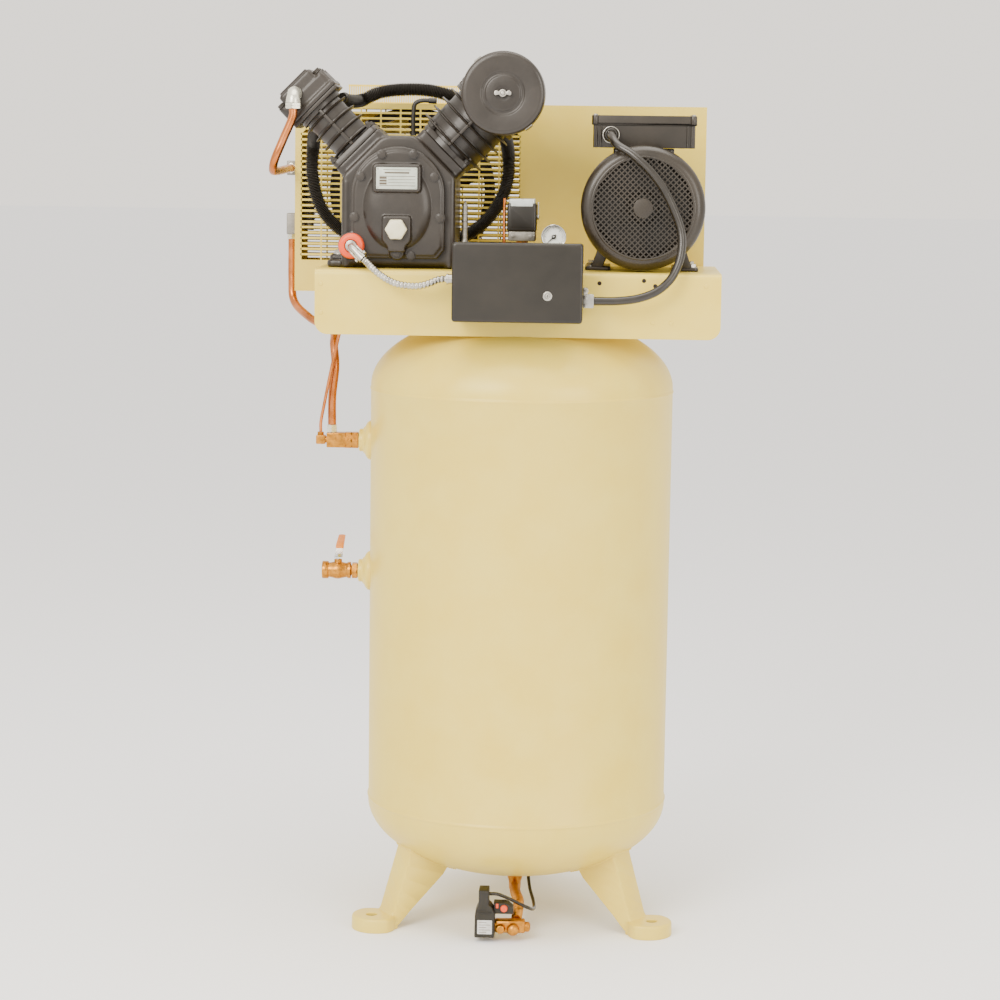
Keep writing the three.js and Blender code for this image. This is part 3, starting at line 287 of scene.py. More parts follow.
# Each head is a quarter ellipse in section: radius by sine, height by cosine of one angle.
turn = np.linspace(0, np.pi / 2, 40)
tank_profile = np.concatenate([
    np.stack([tank_radius * np.sin(turn), lower_seam - head_skirt - head_depth * np.cos(turn)], 1),
    bead(lower_seam - 2), [[tank_radius - 0.8, lower_seam + 3]], bead(upper_seam + 2),
    np.stack([tank_radius * np.sin(turn[::-1]),
              upper_seam + head_skirt + head_depth * np.cos(turn[::-1])], 1),
])
tank_parts = [turned(tank_profile, "z", (0, 0, 0), 160)]
for port_z in (inlet_z, outlet_z):
    tank_parts.append(turned(rounded([
        (0, -tank_radius + 9), (40, -tank_radius + 9), (40, -tank_radius - 4),
        (35, -tank_radius - 9), (28, -tank_radius - 12), (26, -tank_radius - 15),
        (26, coupling_end + 9), (23, coupling_end + 9), (23, coupling_end),
        (14, coupling_end), (13, coupling_end + 3), (13, coupling_end + 20), (0, coupling_end + 20),
    ], 2.5, 4), "x", (0, 0, port_z), 48))
piece("tank", tank_parts, cream_enamel, stands_for=["tank_shell"])

# ---- Legs --------------------------------------------------------------------------------
# Three legs folded from 5 mm plate: a sloping face with a flange down each side, and a pressed
# round foot with an anchor hole. Welded under the lower head and sprayed with the tank.
leg_half = 31.0
leg_sheet = 5.0
foot_middle = 322.0
foot_radius = 50.0
foot_height = 28.0
hole_middle = 333.0
hole_radius = 11.0
leg_lean = 0.321
leg_turns = {"leg_left": -57.5, "leg_right": 57.5, "leg_rear": 180.0}


def channel():
    """A folded channel: its closed section, level by level from the floor into the tank. The
    face leans in with height and the flanges reach further in towards the tank's axis."""
    levels = np.array([1, 4, 9, 16, 24, 34, 50, 75, 100, 125, 150, 175, 196.0])
    inner = np.interp(levels, [1, 4, 9, 16, 24, 34, 112, 196], [306, 296, 287, 279, 271, 261, 173, 146])
    rows = []
    for z, flange in zip(levels, inner):
        face = 302 - (z - foot_height) * leg_lean if z > foot_height else 308.0
        section = rounded([(-leg_half, flange), (-leg_half, face), (leg_half, face),
                           (leg_half, flange), (leg_half - leg_sheet, flange),
                           (leg_half - leg_sheet, face - leg_sheet),
                           (leg_sheet - leg_half, face - leg_sheet),
                           (leg_sheet - leg_half, flange)],
                          [1, 9, 9, 1, 1, 4, 4, 1], 6, True)
        rows.append(np.stack([section[:, 0], -section[:, 1], z + 0 * section[:, 0]], 1))
    count = len(rows[0])
    faces = grid(len(rows), count, False, True)
    faces += [list(range(count)), list(range(len(rows) * count - count, len(rows) * count))]
    return np.concatenate(rows), faces


def foot():
    """A pressed foot: one closed profile of (distance in from the outline, height), carried round
    the anchor hole. The outline is a round end with a neck, as distance from the hole by angle."""
    bow = np.linspace(0, np.pi, 40)
    outline = np.concatenate([
        np.stack([foot_radius * np.cos(bow), -foot_middle - foot_radius * np.sin(bow)], 1),
        [(-leg_half - 1, -296.0), (-leg_half - 1, -290.0), (leg_half + 1, -290.0),
         (leg_half + 1, -296.0)]])
    outline = rounded(outline, 3, 4, True)
    away = outline + [0, hole_middle]
    angle = np.arctan2(away[:, 1], away[:, 0])
    order = np.argsort(angle)
    turn = np.linspace(-np.pi, np.pi, 96, endpoint=False)
    reach = np.interp(turn, angle[order], np.linalg.norm(away, axis=1)[order], period=2 * np.pi)
    rim = rounded([(9, foot_height), (0, foot_height), (0, 0), (7, 0), (7, foot_height - 6),
                   (14, foot_height - 6)], [1, 8, 2, 2, 3, 1], 6)
    rings = [(hole_radius + 0 * turn, foot_height - 1.5), (hole_radius + 1.5 + 0 * turn, foot_height)]
    rings += [(reach - inset, z) for inset, z in rim]
    rings += [(hole_radius + 0 * turn, foot_height - 6)]
    points = [np.stack([r * np.cos(turn), r * np.sin(turn) - hole_middle, z + 0 * turn], 1)
              for r, z in rings]
    return np.concatenate(points), grid(len(rings), len(turn), True, True)


def swept(path, radius, sides=14, caps=True):
    """A round section along a path: each frame is the one before it, turned just enough to stay
    square to the path. The radius may be one number or one for each point."""
    path = np.array(path, float)
    tangent = np.gradient(path, axis=0)
    tangent /= np.linalg.norm(tangent, axis=1, keepdims=True)
    across = np.cross(tangent[0], [0.31, 0.27, 0.91])
    frames = []
    for direction in tangent:
        across = across - direction * across.dot(direction)
        across = across / np.linalg.norm(across)
        frames.append(across)
    u = np.array(frames)
    v = np.cross(tangent, u)
    turn = np.linspace(0, 2 * np.pi, sides, endpoint=False)
    reach = np.broadcast_to(np.array(radius, float), (len(path),))[:, None, None]
    ring = (path[:, None] + reach * (u[:, None] * np.cos(turn)[:, None]
                                     + v[:, None] * np.sin(turn)[:, None]))
    faces = grid(len(path), sides, False, True)
    if caps:
        faces += [list(range(sides)), list(range((len(path) - 1) * sides, len(path) * sides))]
    return ring.reshape(-1, 3), faces


def head_z(radius):
    """Height of the lower head's outside at a distance from the tank's axis."""
    share = np.clip(1 - (radius / tank_radius) ** 2, 0, 1)
    return lower_seam - head_skirt - head_depth * np.sqrt(share)


# The weld runs where the channel meets the head: up one flange, across the face, down the other.
line_radius = np.linspace(155, 285, 400)
face_height = foot_height + (302 - line_radius) / leg_lean
meeting = line_radius[np.argmin(abs(face_height - head_z(np.hypot(line_radius, leg_half))))]
rise = np.linspace(158, meeting, 60)
sides_of_face = np.linspace(-leg_half, leg_half, 24)[1:-1]
seam_x = np.concatenate([-leg_half + 0 * rise, sides_of_face, leg_half + 0 * rise])
seam_r = np.concatenate([rise, meeting + 0 * sides_of_face, rise[::-1]])
weld_path = np.stack([seam_x, -seam_r, head_z(np.hypot(seam_x, seam_r))], 1)
ripple = 2.6 + 0.5 * np.sin(np.arange(len(weld_path)) * 2.1)
leg_parts = [channel(), foot(), swept(weld_path, ripple, 10)]
for leg_name, degrees in leg_turns.items():
    spin = np.array(Matrix.Rotation(np.radians(degrees), 3, "Z"))
    piece("painted_" + leg_name, [(points @ spin.T, faces) for points, faces in leg_parts],
          cream_enamel, stands_for=[leg_name])

# ---- Platform ----------------------------------------------------------------------------
# One steel plate bent down at the front and the back, welded on the upper head. It carries the
# pump, the motor and the guard, and its apron has a few screws and open holes.
deck_low, deck_high = corners("platform")
deck = deck_high[2]
plate_thick = 6.0
apron_corner = 25.0


def folded_plate():
    """A bent plate: its path from the front apron's lower edge over the top to the rear one, and
    across it from left to right. Near the lower edges both ends curve in like a circle's side."""
    front, back = deck_low[1] + plate_thick / 2, deck_high[1] - plate_thick / 2
    low, top = deck_low[2], deck - plate_thick / 2
    steps = np.linspace(0, 1, 12)[:-1] ** 1.5 * apron_corner
    path = np.concatenate([
        np.stack([front + 0 * steps, low + steps], 1),
        rounded([(front, low + apron_corner), (front, top), (back, top),
                 (back, low + apron_corner)], [0, 9, 9, 0], 8),
        np.stack([back + 0 * steps, low + steps], 1)[::-1]])
    drop = np.clip(apron_corner - (path[:, 1] - low), 0, apron_corner)
    inset = apron_corner - np.sqrt(np.clip(apron_corner ** 2 - drop ** 2, 0, None))
    share = np.array([0, 0.004, 0.02, 0.1, 0.3, 0.5, 0.7, 0.9, 0.98, 0.996, 1])
    x = (deck_low[0] + inset)[:, None] * (1 - share) + (deck_high[0] - inset)[:, None] * share
    y, z = path[:, :1] + 0 * x, path[:, 1:] + 0 * x
    return np.stack([x, y, z], -1).reshape(-1, 3), grid(len(path), len(share))


platform = piece("platform_plate", [folded_plate()], cream_enamel, stands_for=["platform"])
thicken = platform.modifiers.new("plate", "SOLIDIFY")
thicken.thickness = plate_thick / 1000
thicken.offset = 0
soften = platform.modifiers.new("edges", "BEVEL")
soften.width = 0.0012
soften.segments = 2
soften.limit_method = "ANGLE"
soften.angle_limit = np.radians(50)


def plate(outline, low, high, edge=1.0, axis="y", steps=4):
    """A flat outline given thickness along an axis, with both rims rounded: ring after ring, the
    outline moved in by the edge's size times one minus sine as it rises by one minus cosine."""
    outline = np.array(outline, float)
    ahead = np.roll(outline, -1, 0) - outline
    area = np.sum(outline[:, 0] * np.roll(outline[:, 1], -1)
                  - outline[:, 1] * np.roll(outline[:, 0], -1))
    ahead = ahead / np.linalg.norm(ahead, axis=1, keepdims=True) * np.sign(area)
    normal = np.stack([-ahead[:, 1], ahead[:, 0]], 1)
    behind = np.roll(normal, 1, 0)
    inwards = (normal + behind) / (1 + np.sum(normal * behind, 1, keepdims=True))
    t = np.linspace(0, np.pi / 2, steps)
    inset = np.concatenate([edge * (1 - np.sin(t)), edge * (1 - np.cos(t))])
    height = np.concatenate([low + edge * (1 - np.cos(t)), high - edge * (1 - np.sin(t))])
    flat = outline[None] + inset[:, None, None] * inwards[None]
    depth = np.broadcast_to(height[:, None], flat.shape[:2])
    u, v = flat[..., 0], flat[..., 1]
    xyz = {"x": (depth, u, v), "y": (u, depth, v), "z": (u, v, depth)}[axis]
    count, rings = len(outline), len(height)
    faces = grid(rings, count, False, True)
    faces += [list(range(count)), list(range((rings - 1) * count, rings * count))]
    return np.stack(xyz, -1).reshape(-1, 3), faces


def ring_of(radius, middle=(0.0, 0.0), sides=32, start=0.0):
    """Points on a circle; six sides and a start angle make a hexagon."""
    turn = start + np.linspace(0, 2 * np.pi, sides, endpoint=False)
    return np.stack([middle[0] + radius * np.cos(turn), middle[1] + radius * np.sin(turn)], 1)


def block(low, high, edge=1.0, corner=None, axis="y"):
    """A box with rounded corners and edges, as a plate across the given axis."""
    low, high = np.array(low, float), np.array(high, float)
    a, b = [i for i in range(3) if i != "xyz".index(axis)]
    sheet = rounded([(low[a], low[b]), (high[a], low[b]), (high[a], high[b]), (low[a], high[b])],
                    edge if corner is None else corner, 5, True)
    k = "xyz".index(axis)
    return plate(sheet, low[k], high[k], edge, axis)


screw_places = [(deck_low[0] + 12, -29), (deck_low[0] + 12, -85), (deck_high[0] - 30, -23),
                (deck_high[0] - 96, -95), (deck_high[0] - 132, -95)]
hole_places = [(deck_high[0] - 236, -20), (deck_high[0] - 128, -24), (deck_high[0] - 150, -14)]
piece("apron_screws", [
    turned(rounded([(0, deck_low[1] - 1.4), (3, deck_low[1] - 1.4), (4.6, deck_low[1] - 0.2),
                    (4.6, deck_low[1] + 2), (0, deck_low[1] + 2)], 0.6, 4), "y", (x, 0, deck + z), 20)
    for x, z in screw_places], cream_enamel)
# Open holes are drawn as thin dark discs on the apron's face: painted shade of the apron's dark inside.
hole_shade = coating("hole_shade", "black_paint", ("#1c140c", "#2a1e12"), (0.8, 0.95), (2.0, 0.05))
piece("apron_holes", [
    plate(ring_of(4.2, (x, deck + z), 20), deck_low[1] - 0.25, deck_low[1] + 1, 0.15)
    for x, z in hole_places], hole_shade)

# ---- Belt guard --------------------------------------------------------------------------
# Folded sheet steel behind the platform: a front panel with punched slots over the flywheel and
# a plain part beside them, a rim, and a rear panel whose screen stands up behind the pump.
panel_low, panel_high = corners("guard_front_panel")
rear_low, rear_high = corners("guard_rear_panel")
grille_low_x, grille_high_x = panel_low[0] + 14, panel_low[0] + 466
grille_low_z, grille_high_z = panel_high[2] - 325, panel_high[2] - 12
slot_pitch = 11.3
strip_width = 3.2
clip = 52.0


def boxes(lows, highs):
    """Many square-edged bars at once, from arrays of their lowest and highest corners."""
    lows, highs = np.array(lows, float), np.array(highs, float)
    pick = np.array([(i, j, k) for i in (0, 1) for j in (0, 1) for k in (0, 1)])
    points = np.where(pick[None] == 0, lows[:, None], highs[:, None]).reshape(-1, 3)
    sides = np.array([(0, 1, 3, 2), (4, 6, 7, 5), (0, 4, 5, 1), (2, 3, 7, 6), (0, 2, 6, 4),
                      (1, 5, 7, 3)])
    return points, (sides[None] + 8 * np.arange(len(lows))[:, None, None]).reshape(-1, 4).tolist()


def framed(outer, inner, front, back):
    """A flat ring between two outlines with the same number of points, given thickness."""
    outer, inner = np.array(outer, float), np.array(inner, float)
    loops = [(outer, front), (outer, back), (inner, back), (inner, front)]
    points = [np.stack([loop[:, 0], y + 0 * loop[:, 0], loop[:, 1]], 1) for loop, y in loops]
    return np.concatenate(points), grid(4, len(outer), True, True)


def slotted(low, high, slat_height, shift):
    """Slats and strips of a slotted panel, shortened where the window's upper corners are cut."""
    levels = np.arange(grille_low_z + slot_pitch + shift, grille_high_z - 3, slot_pitch)
    lost = np.clip(levels - (grille_high_z - clip), 0, clip)
    slats = boxes(np.stack([grille_low_x + lost - 2, low[1] + 0 * levels, levels - slat_height / 2], 1),
                  np.stack([grille_high_x - lost + 2, high[1] + 0 * levels,
                            levels + slat_height / 2], 1))
    posts = np.arange(grille_low_x + 41, grille_high_x - 10, 41.0)
    lost = np.clip(clip - np.minimum(posts - grille_low_x, grille_high_x - posts), 0, clip)
    strips = boxes(np.stack([posts - strip_width / 2, low[1] + 0.1 + 0 * posts,
                             grille_low_z - 2 + 0 * posts], 1),
                   np.stack([posts + strip_width / 2, high[1] - 0.1 + 0 * posts,
                             grille_high_z - lost + 2], 1))
    x0, x1, z0, z1 = grille_low_x, grille_high_x, grille_low_z, grille_high_z
    window = [(x0, z0), (x1, z0), (x1, z1 - clip), (x1 - clip, z1), (x0 + clip, z1), (x0, z1 - clip)]
    sheet = [(low[0], low[2]), (high[0], low[2]), (high[0], z1 - clip), (high[0], high[2]),
             (low[0], high[2]), (low[0], z1 - clip)]
    return [slats, strips, framed(sheet, window, low[1], high[1])]


piece("guard_front", slotted(panel_low, panel_high, 4.4, 0), cream_enamel,
      stands_for=["guard_front_panel"])
rear_top = panel_high[2]
teeth = np.arange(rear_low[0] + 101, rear_low[0] + 383, 4.6)
comb = boxes(np.stack([teeth - 1.1, rear_high[1] - 2.2 + 0 * teeth, rear_top - 4 + 0 * teeth], 1),
             np.stack([teeth + 1.1, rear_high[1] + 0 * teeth, rear_high[2] - 1.0 + 0 * teeth], 1))
rails = boxes([(teeth[0] - 2, rear_low[1], z) for z in (rear_top - 6, rear_high[2] - 4)],
              [(teeth[-1] + 2, rear_high[1] - 0.2, z) for z in (rear_top + 4, rear_high[2])])
piece("guard_rear", slotted(rear_low, np.array([rear_high[0], rear_high[1], rear_top]), 7.8, -4.2)
      + [comb, rails], cream_enamel, stands_for=["guard_rear_panel"])
rim_low, rim_high = corners("guard_rim")
rim_outer = rounded([(rim_low[0], rim_low[2]), (rim_high[0], rim_low[2]),
                     (rim_high[0], rim_high[2]), (rim_low[0], rim_high[2])], 4, 5, True)
rim_inner = rounded([(rim_low[0] + 2, rim_low[2] + 2), (rim_high[0] - 2, rim_low[2] + 2),
                     (rim_high[0] - 2, rim_high[2] - 2), (rim_low[0] + 2, rim_high[2] - 2)],
                    2.5, 5, True)
piece("guard_sides", [framed(rim_outer, rim_inner, panel_high[1] - 0.2, rear_low[1] + 0.2)],
      cream_enamel, stands_for=["guard_rim"])

# ---- Flywheel, motor pulley and belts ------------------------------------------------------
# Cast iron sheaves with two V grooves each and two rubber V-belts; the flywheel has five curved
# arms that blow air over the pump. They turn with the crank and the rotor behind the guard.
crank_x, crank_z = centre("flywheel")[[0, 2]]
motor_x, sheave_y, motor_z = centre("motor_pulley")
wheel_radius = (corners("flywheel")[1] - corners("flywheel")[0])[0] / 2
pulley_radius = (corners("motor_pulley")[1] - corners("motor_pulley")[0])[0] / 2
groove_gap, groove_half, groove_deep = 12.5, 7.0, 11.0
crank_axis = np.array([crank_x, 0.0, crank_z])
motor_axis = np.array([motor_x, 0.0, motor_z])
sheave_iron = coating("sheave_iron", "cast_iron", ("#15110d", "#1e1914"), (0.5, 0.72),
                      (1.6, 0.06), lump=(24.0, 0.2), metallic=0.35)
belt_rubber = coating("belt_rubber", "rubber", ("#100e08", "#191610"), (0.62, 0.85), (1.2, 0.05))


def moved(part, offset=(0.0, 0.0, 0.0), degrees=0.0, axis="Y"):
    """A part turned about an axis through the origin and then shifted."""
    turn = np.array(Matrix.Rotation(np.radians(degrees), 3, axis))
    return part[0] @ turn.T + np.array(offset), part[1]


def looped(profile, axis, middle, sides=48):
    """A turned shape whose profile is itself a closed loop, such as a ring or a thin cup."""
    points, _ = turned(profile, axis, middle, sides)
    return points, grid(len(profile), sides, True, True)


def sheave(radius, inner, hub):
    """A rim with two V grooves, their corners broken by half a millimetre, and a hub ring."""
    line = [(inner, -25), (radius, -25)]
    for middle in (-groove_gap, groove_gap):
        line += [(radius, middle - groove_half), (radius - groove_deep, middle - 4.6),
                 (radius - groove_deep, middle + 4.6), (radius, middle + groove_half)]
    line += [(radius, 25), (inner, 25)]
    ring = looped(rounded(line, 1.0, 3, True), "y", (0, sheave_y, 0), 128)
    bore = looped(rounded([(hub[0], -25), (hub[1], -25), (hub[1], 25), (hub[0], 25)], 1.5, 3,
                          True), "y", (0, sheave_y, 0), 48)
    return [ring, bore]


# An arm bows sideways by 16 mm halfway out; its section is an ellipse wider near the hub.
arm_run = np.linspace(34, wheel_radius - 14, 16)
arm_turn = np.linspace(0, 2 * np.pi, 20, endpoint=False)
arm_half = np.interp(arm_run, [34, wheel_radius - 14], [19, 13])
arm_bow = 9 * np.sin(np.pi * (arm_run - 34) / (wheel_radius - 48))
arm = np.stack([arm_bow[:, None] + arm_half[:, None] * np.cos(arm_turn),
                sheave_y + 8 * np.sin(arm_turn) + 0 * arm_run[:, None],
                arm_run[:, None] + 0 * arm_turn], -1).reshape(-1, 3)
arm_faces = grid(16, 20, False, True) + [list(range(20)), list(range(300, 320))]
shaft_bore = 17.8
wheel_parts = sheave(wheel_radius, wheel_radius - 20, (shaft_bore, 40))
wheel_parts += [moved((arm, arm_faces), (0, 0, 0), 72 * k) for k in range(5)]
piece("flywheel_casting", [moved(part, crank_axis) for part in wheel_parts], sheave_iron,
      body="crank", stands_for=["flywheel"])
piece("pulley_casting", [moved(part, motor_axis) for part in sheave(pulley_radius, 14.8, (14.8, 30))],
      sheave_iron, body="rotor", stands_for=["motor_pulley"])


def belt(offset):
    """A V-belt: a trapezoid section carried round both sheaves. Where it wraps a sheave the path
    is an arc of its pitch circle; the straight runs touch both circles."""
    apart = np.array([motor_x - crank_x, motor_z - crank_z])
    lean = np.arctan2(apart[1], apart[0])
    big, small = wheel_radius - 5.5, pulley_radius - 5.5
    open_angle = np.arccos((big - small) / np.linalg.norm(apart))
    a = np.linspace(lean + open_angle, lean + 2 * np.pi - open_angle, 90)
    b = np.linspace(lean - open_angle, lean + open_angle, 40)
    normal = np.concatenate([np.stack([np.cos(a), np.sin(a)], 1),
                             np.stack([np.cos(b), np.sin(b)], 1)])
    path = np.concatenate([big * normal[:90], apart + small * normal[90:]])
    section = rounded([(-4.5, -3.9), (-4.5, 3.9), (4.5, 5.9), (4.5, -5.9)], 0.8, 3, True)
    x = path[:, :1] + section[:, 0] * normal[:, :1] + crank_x
    z = path[:, 1:] + section[:, 0] * normal[:, 1:] + crank_z
    y = sheave_y + offset + section[:, 1] + 0 * x
    return np.stack([x, y, z], -1).reshape(-1, 3), grid(len(path), len(section), True, True)


piece("v_belt_front", [belt(-groove_gap)], belt_rubber, stands_for=["belt_front"])
piece("v_belt_rear", [belt(groove_gap)], belt_rubber, stands_for=["belt_rear"])

# ---- Crankcase and front cover -------------------------------------------------------------
# Grey iron castings under satin black paint. The parts of each are fused into one skin and
# smoothed, as a sand mould leaves them; the bores are then cut in like machined faces.
case_low, case_high = corners("crankcase")
cover_high = corners("crankcase_cover")[1]
case_half = 111.0
case_front, case_back = cover_high[1] + 0.3, case_high[1]
case_bottom = case_low[2] - crank_z
base_half = (case_high[0] - case_low[0]) / 2
bore_y = -40.0
seat_reach = 122.0
case_paint = coating("case_paint", "black_paint", ("#1b150e", "#261f17"), (0.34, 0.5),
                     (1.5, 0.05), lump=(16.0, 0.3), metallic=0.0, coat=0.15)
dark_paint = coating("dark_paint", "black_paint", ("#1c160e", "#272017"), (0.34, 0.5),
                     (1.5, 0.045), lump=(18.0, 0.25), coat=0.15)


def fused(points_and_faces, voxel, rounds):
    """Overlapping parts as one skin: voxels of the given size, then rounds of smoothing."""
    holder = piece("holder", points_and_faces, case_paint)
    remesh = holder.modifiers.new("skin", "REMESH")
    remesh.mode = "VOXEL"
    remesh.voxel_size = voxel / 1000
    smooth = holder.modifiers.new("smooth", "SMOOTH")
    smooth.factor = 0.5
    smooth.iterations = rounds
    return holder


def casting(name, parts, look, stands_for=(), cuts=(), voxel=2.2, rounds=5, body="stand"):
    """Fuses parts into one casting and cuts the given parts out of it."""
    holder = fused(parts, voxel, rounds)
    tools = []
    for index, part in enumerate(cuts):
        tool = piece(f"tool_{index}", [part], look)
        cutter = holder.modifiers.new(f"cut_{index}", "BOOLEAN")
        cutter.operation = "DIFFERENCE"
        cutter.object = tool
        tools.append(tool)
    graph = bpy.context.evaluated_depsgraph_get()
    mesh = bpy.data.meshes.new_from_object(holder.evaluated_get(graph))
    for gone in [holder, *tools]:
        bpy.data.objects.remove(gone)
    mesh.name = name
    mesh.materials.clear()
    mesh.materials.append(look)
    mesh.polygons.foreach_set("use_smooth", [True] * len(mesh.polygons))
    mesh.set_sharp_from_angle(angle=np.radians(40))
    made = bpy.data.objects.new(name, mesh)
    bpy.context.scene.collection.objects.link(made)
    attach(made, body)
    if stands_for:
        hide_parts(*stands_for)
    return made


def case_outline(inset):
    """The crankcase's outline under its two seats, moved in by an inset."""
    half, top = case_half - inset, 113.0 - inset
    reach = (seat_reach - 20 - inset) * np.sqrt(2)
    low = case_bottom + 6 + inset
    return [(-half, low), (half, low), (half, reach - half), (reach - top, top),
            (top - reach, top), (-half, reach - half)]


def upright(half_x, low_y, high_y, low_z, high_z, corner, edge, tilt):
    """A rounded block standing along a cylinder's axis."""
    return moved(block((-half_x, low_y, low_z), (half_x, high_y, high_z), edge, corner, "z"),
                 crank_axis, tilt)


case_parts = [moved(plate(rounded(case_outline(0), [6, 6, 10, 14, 14, 10], 5, True), case_front,
                          case_back, 5), crank_axis)]
for tilt in (-45, 45):
    case_parts.append(upright(58, bore_y - 58, bore_y + 58, 96, seat_reach, 12, 2, tilt))
    case_parts.append(upright(52, bore_y - 52, bore_y + 52, 80, 104, 10, 4, tilt))
    case_parts += [upright(9, bore_y + s - 9, bore_y + s + 9, 86, seat_reach, 8, 2, tilt)
                   for s in (-49, 49)]
case_parts.append(block((crank_x - base_half, -125, case_low[2]),
                        (crank_x + base_half, case_back, case_low[2] + 14), 3, 14, "z"))
for side in (-1, 1):
    case_parts.append(turned([(0, case_low[2] + 2), (10, case_low[2] + 2), (10, crank_z + 22),
                              (0, crank_z + 32)], "z", (crank_x + side * 102, case_front + 9, 0), 24))
    case_parts.append(block((crank_x + side * (base_half - 17) - 17, -70, case_low[2]),
                            (crank_x + side * (base_half - 17) + 17, 30, case_low[2] + 23), 4,
                            10, "z"))
case_parts.append(turned(rounded([(0, case_back - 14), (52, case_back - 14), (46, case_back),
                                  (0, case_back)], 3, 4), "y", (crank_x, 0, crank_z), 48))
mouth = np.linspace(0, np.pi, 40)
mouth = np.concatenate([np.stack([83 * np.cos(mouth), 83 * np.sin(mouth)], 1),
                        [(-83, case_bottom + 26), (83, case_bottom + 26)]])
case_cuts = [moved(plate(rounded(case_outline(10), 6, 4, True), case_front + 9, case_back - 12, 1),
                   crank_axis),
             moved(plate(mouth, case_front - 5, case_front + 12, 0.2), crank_axis),
             moved(turned([(0, 40), (34, 40), (34, 130), (0, 130)], "z", (0, bore_y, 0), 48),
                   crank_axis, -45),
             moved(turned([(0, 40), (53, 40), (53, 130), (0, 130)], "z", (0, bore_y, 0), 48),
                   crank_axis, 45),
             turned([(0, case_back - 30), (18.4, case_back - 30), (18.4, case_back + 5),
                     (0, case_back + 5)], "y", (crank_x, 0, crank_z), 48)]
casting("crankcase_casting", case_parts, case_paint, ["crankcase"], case_cuts, 2.4, 5)

# The cover: an arch with a rolled rim, a domed belly, the nameplate's frame, a boss for the oil
# plug that runs down as a stem to the drain plug, and a round lobe for the oil level switch.
cover_front = case_front - 15.3
belly_front = cover_front - 17
switch_x, switch_z = -89.0, -102.0
plug_z = -68.0
arc = np.linspace(0, np.pi, 48)
arch = np.concatenate([np.stack([92 * np.cos(arc), 92 * np.sin(arc)], 1),
                       [(-92, -108.0), (-78, -126.0), (78, -126.0), (92, -108.0)]])
bow = np.linspace(0, np.pi / 2, 14)
belly_ring = np.linspace(0, 2 * np.pi, 72, endpoint=False)
# The belly is half an ellipsoid-like dome: its outline shrinks with the cosine to the power 0.6
# as its height grows with the sine.
shrink = np.cos(bow) ** 0.6
belly = np.stack([68 * shrink[:, None] * np.cos(belly_ring),
                  (cover_front + 2 - 18 * np.sin(bow))[:, None] + 0 * belly_ring,
                  -26 + 86 * shrink[:, None] * np.sin(belly_ring)], -1).reshape(-1, 3)
cover_parts = [
    plate(arch, cover_front, case_front - 0.3, 2.5),
    plate(np.array(arch) * 0.93 + [0, -2.5], cover_front - 2.5, cover_front + 2, 2.2),
    (belly, grid(14, 72, False, True) + [list(range(72))]),
    block((-48, belly_front - 5.2, 3), (47, cover_front + 1, 58), 4, 8),
    plate(rounded([(-28, plug_z - 24), (-17, -100), (-17, -112), (17, -112), (17, -100),
                   (28, plug_z - 24), (28, plug_z + 26), (-28, plug_z + 26)], [8, 12, 4, 4, 12,
                                                                               8, 6, 6], 5, True),
          belly_front - 9.6, cover_front + 1, 3),
    turned(rounded([(0, cover_front - 9), (14, cover_front - 9), (16, cover_front + 2),
                    (0, cover_front + 2)], 2, 4), "y", (0, 0, -114), 28),
    turned(rounded([(0, cover_front - 1), (27, cover_front - 1), (28, cover_front + 4),
                    (28, case_front - 0.3), (0, case_front - 0.3)], 2, 4), "y",
           (switch_x, 0, switch_z), 48),
]
casting("crankcase_cover_casting", [moved(part, crank_axis) for part in cover_parts], case_paint,
        ["crankcase_cover"],
        [moved(turned([(0, belly_front - 20), (12.4, belly_front - 20), (12.4, cover_front + 8),
                       (0, cover_front + 8)], "y", (0, 0, plug_z), 40), crank_axis),
         moved(plate(rounded([(-41.5, 8.5), (40.5, 8.5), (40.5, 52.5), (-41.5, 52.5)], 3, 4,
                             True), belly_front - 9, belly_front - 4, 0.2), crank_axis)],
        1.5, 5)

# ---- Pump bolts and nuts -------------------------------------------------------------------
# Hexagon head bolts round the cover and on the feet, nuts and studs on the cylinder seats and
# heads. Painted over with the pump; those on the feet are zinc plated.
zinc = coating("zinc_plate", "steel", ("#a5a299", "#bebbb2"), (0.24, 0.42), (0.9, 0.012),
               lump=(12.0, 0.05), metallic=1.0, patch=18.0)


def hex_bolt(size, head, washer=True, shank=0.0):
    """A hexagon head standing along +Z on Z = 0: the corners of its top and bottom are turned
    down to a cone, so the hexagon's sides end in arcs. Size is across the corners, by two."""
    sides = 48
    turn = np.linspace(0, 2 * np.pi, sides, endpoint=False)
    hexagon = size * np.cos(np.pi / 6) / np.cos((turn + np.pi / 6) % (np.pi / 3) - np.pi / 6)
    low = 1.6 if washer else 0.0
    rings = [(0.0 * turn + shank, low - (0.1 if washer else 0.0)), (size * 0.84 + 0 * turn, low)]
    rings += [(hexagon, low + 0.18 * (hexagon - size * 0.86)), (hexagon, low + head
              - 0.55 * (hexagon - size * 0.86)), (size * 0.8 + 0 * turn, low + head)]
    rings += [(size * 0.2 + 0 * turn, low + head + 0.2)]
    points = np.stack([np.stack([r * np.cos(turn), r * np.sin(turn), z + 0 * turn], 1)
                       for r, z in rings]).reshape(-1, 3)
    count = len(rings)
    ends = [list(range(sides)), list(range((count - 1) * sides, count * sides))]
    parts = [(points, grid(count, sides, False, True) + ends)]
    if washer:
        parts.append(turned(rounded([(0, 0), (size * 1.18, 0), (size * 1.18, 1.6), (0, 1.6)],
                                    0.5, 3), "z", (0, 0, 0), 36))
    return parts


def placed(parts, where, degrees=0.0, axis="Y", spin=0.0):
    """Parts spun about their own Z, laid over about another axis and put in place."""
    return [moved(moved(part, (0, 0, 0), spin, "Z"), where, degrees, axis) for part in parts]


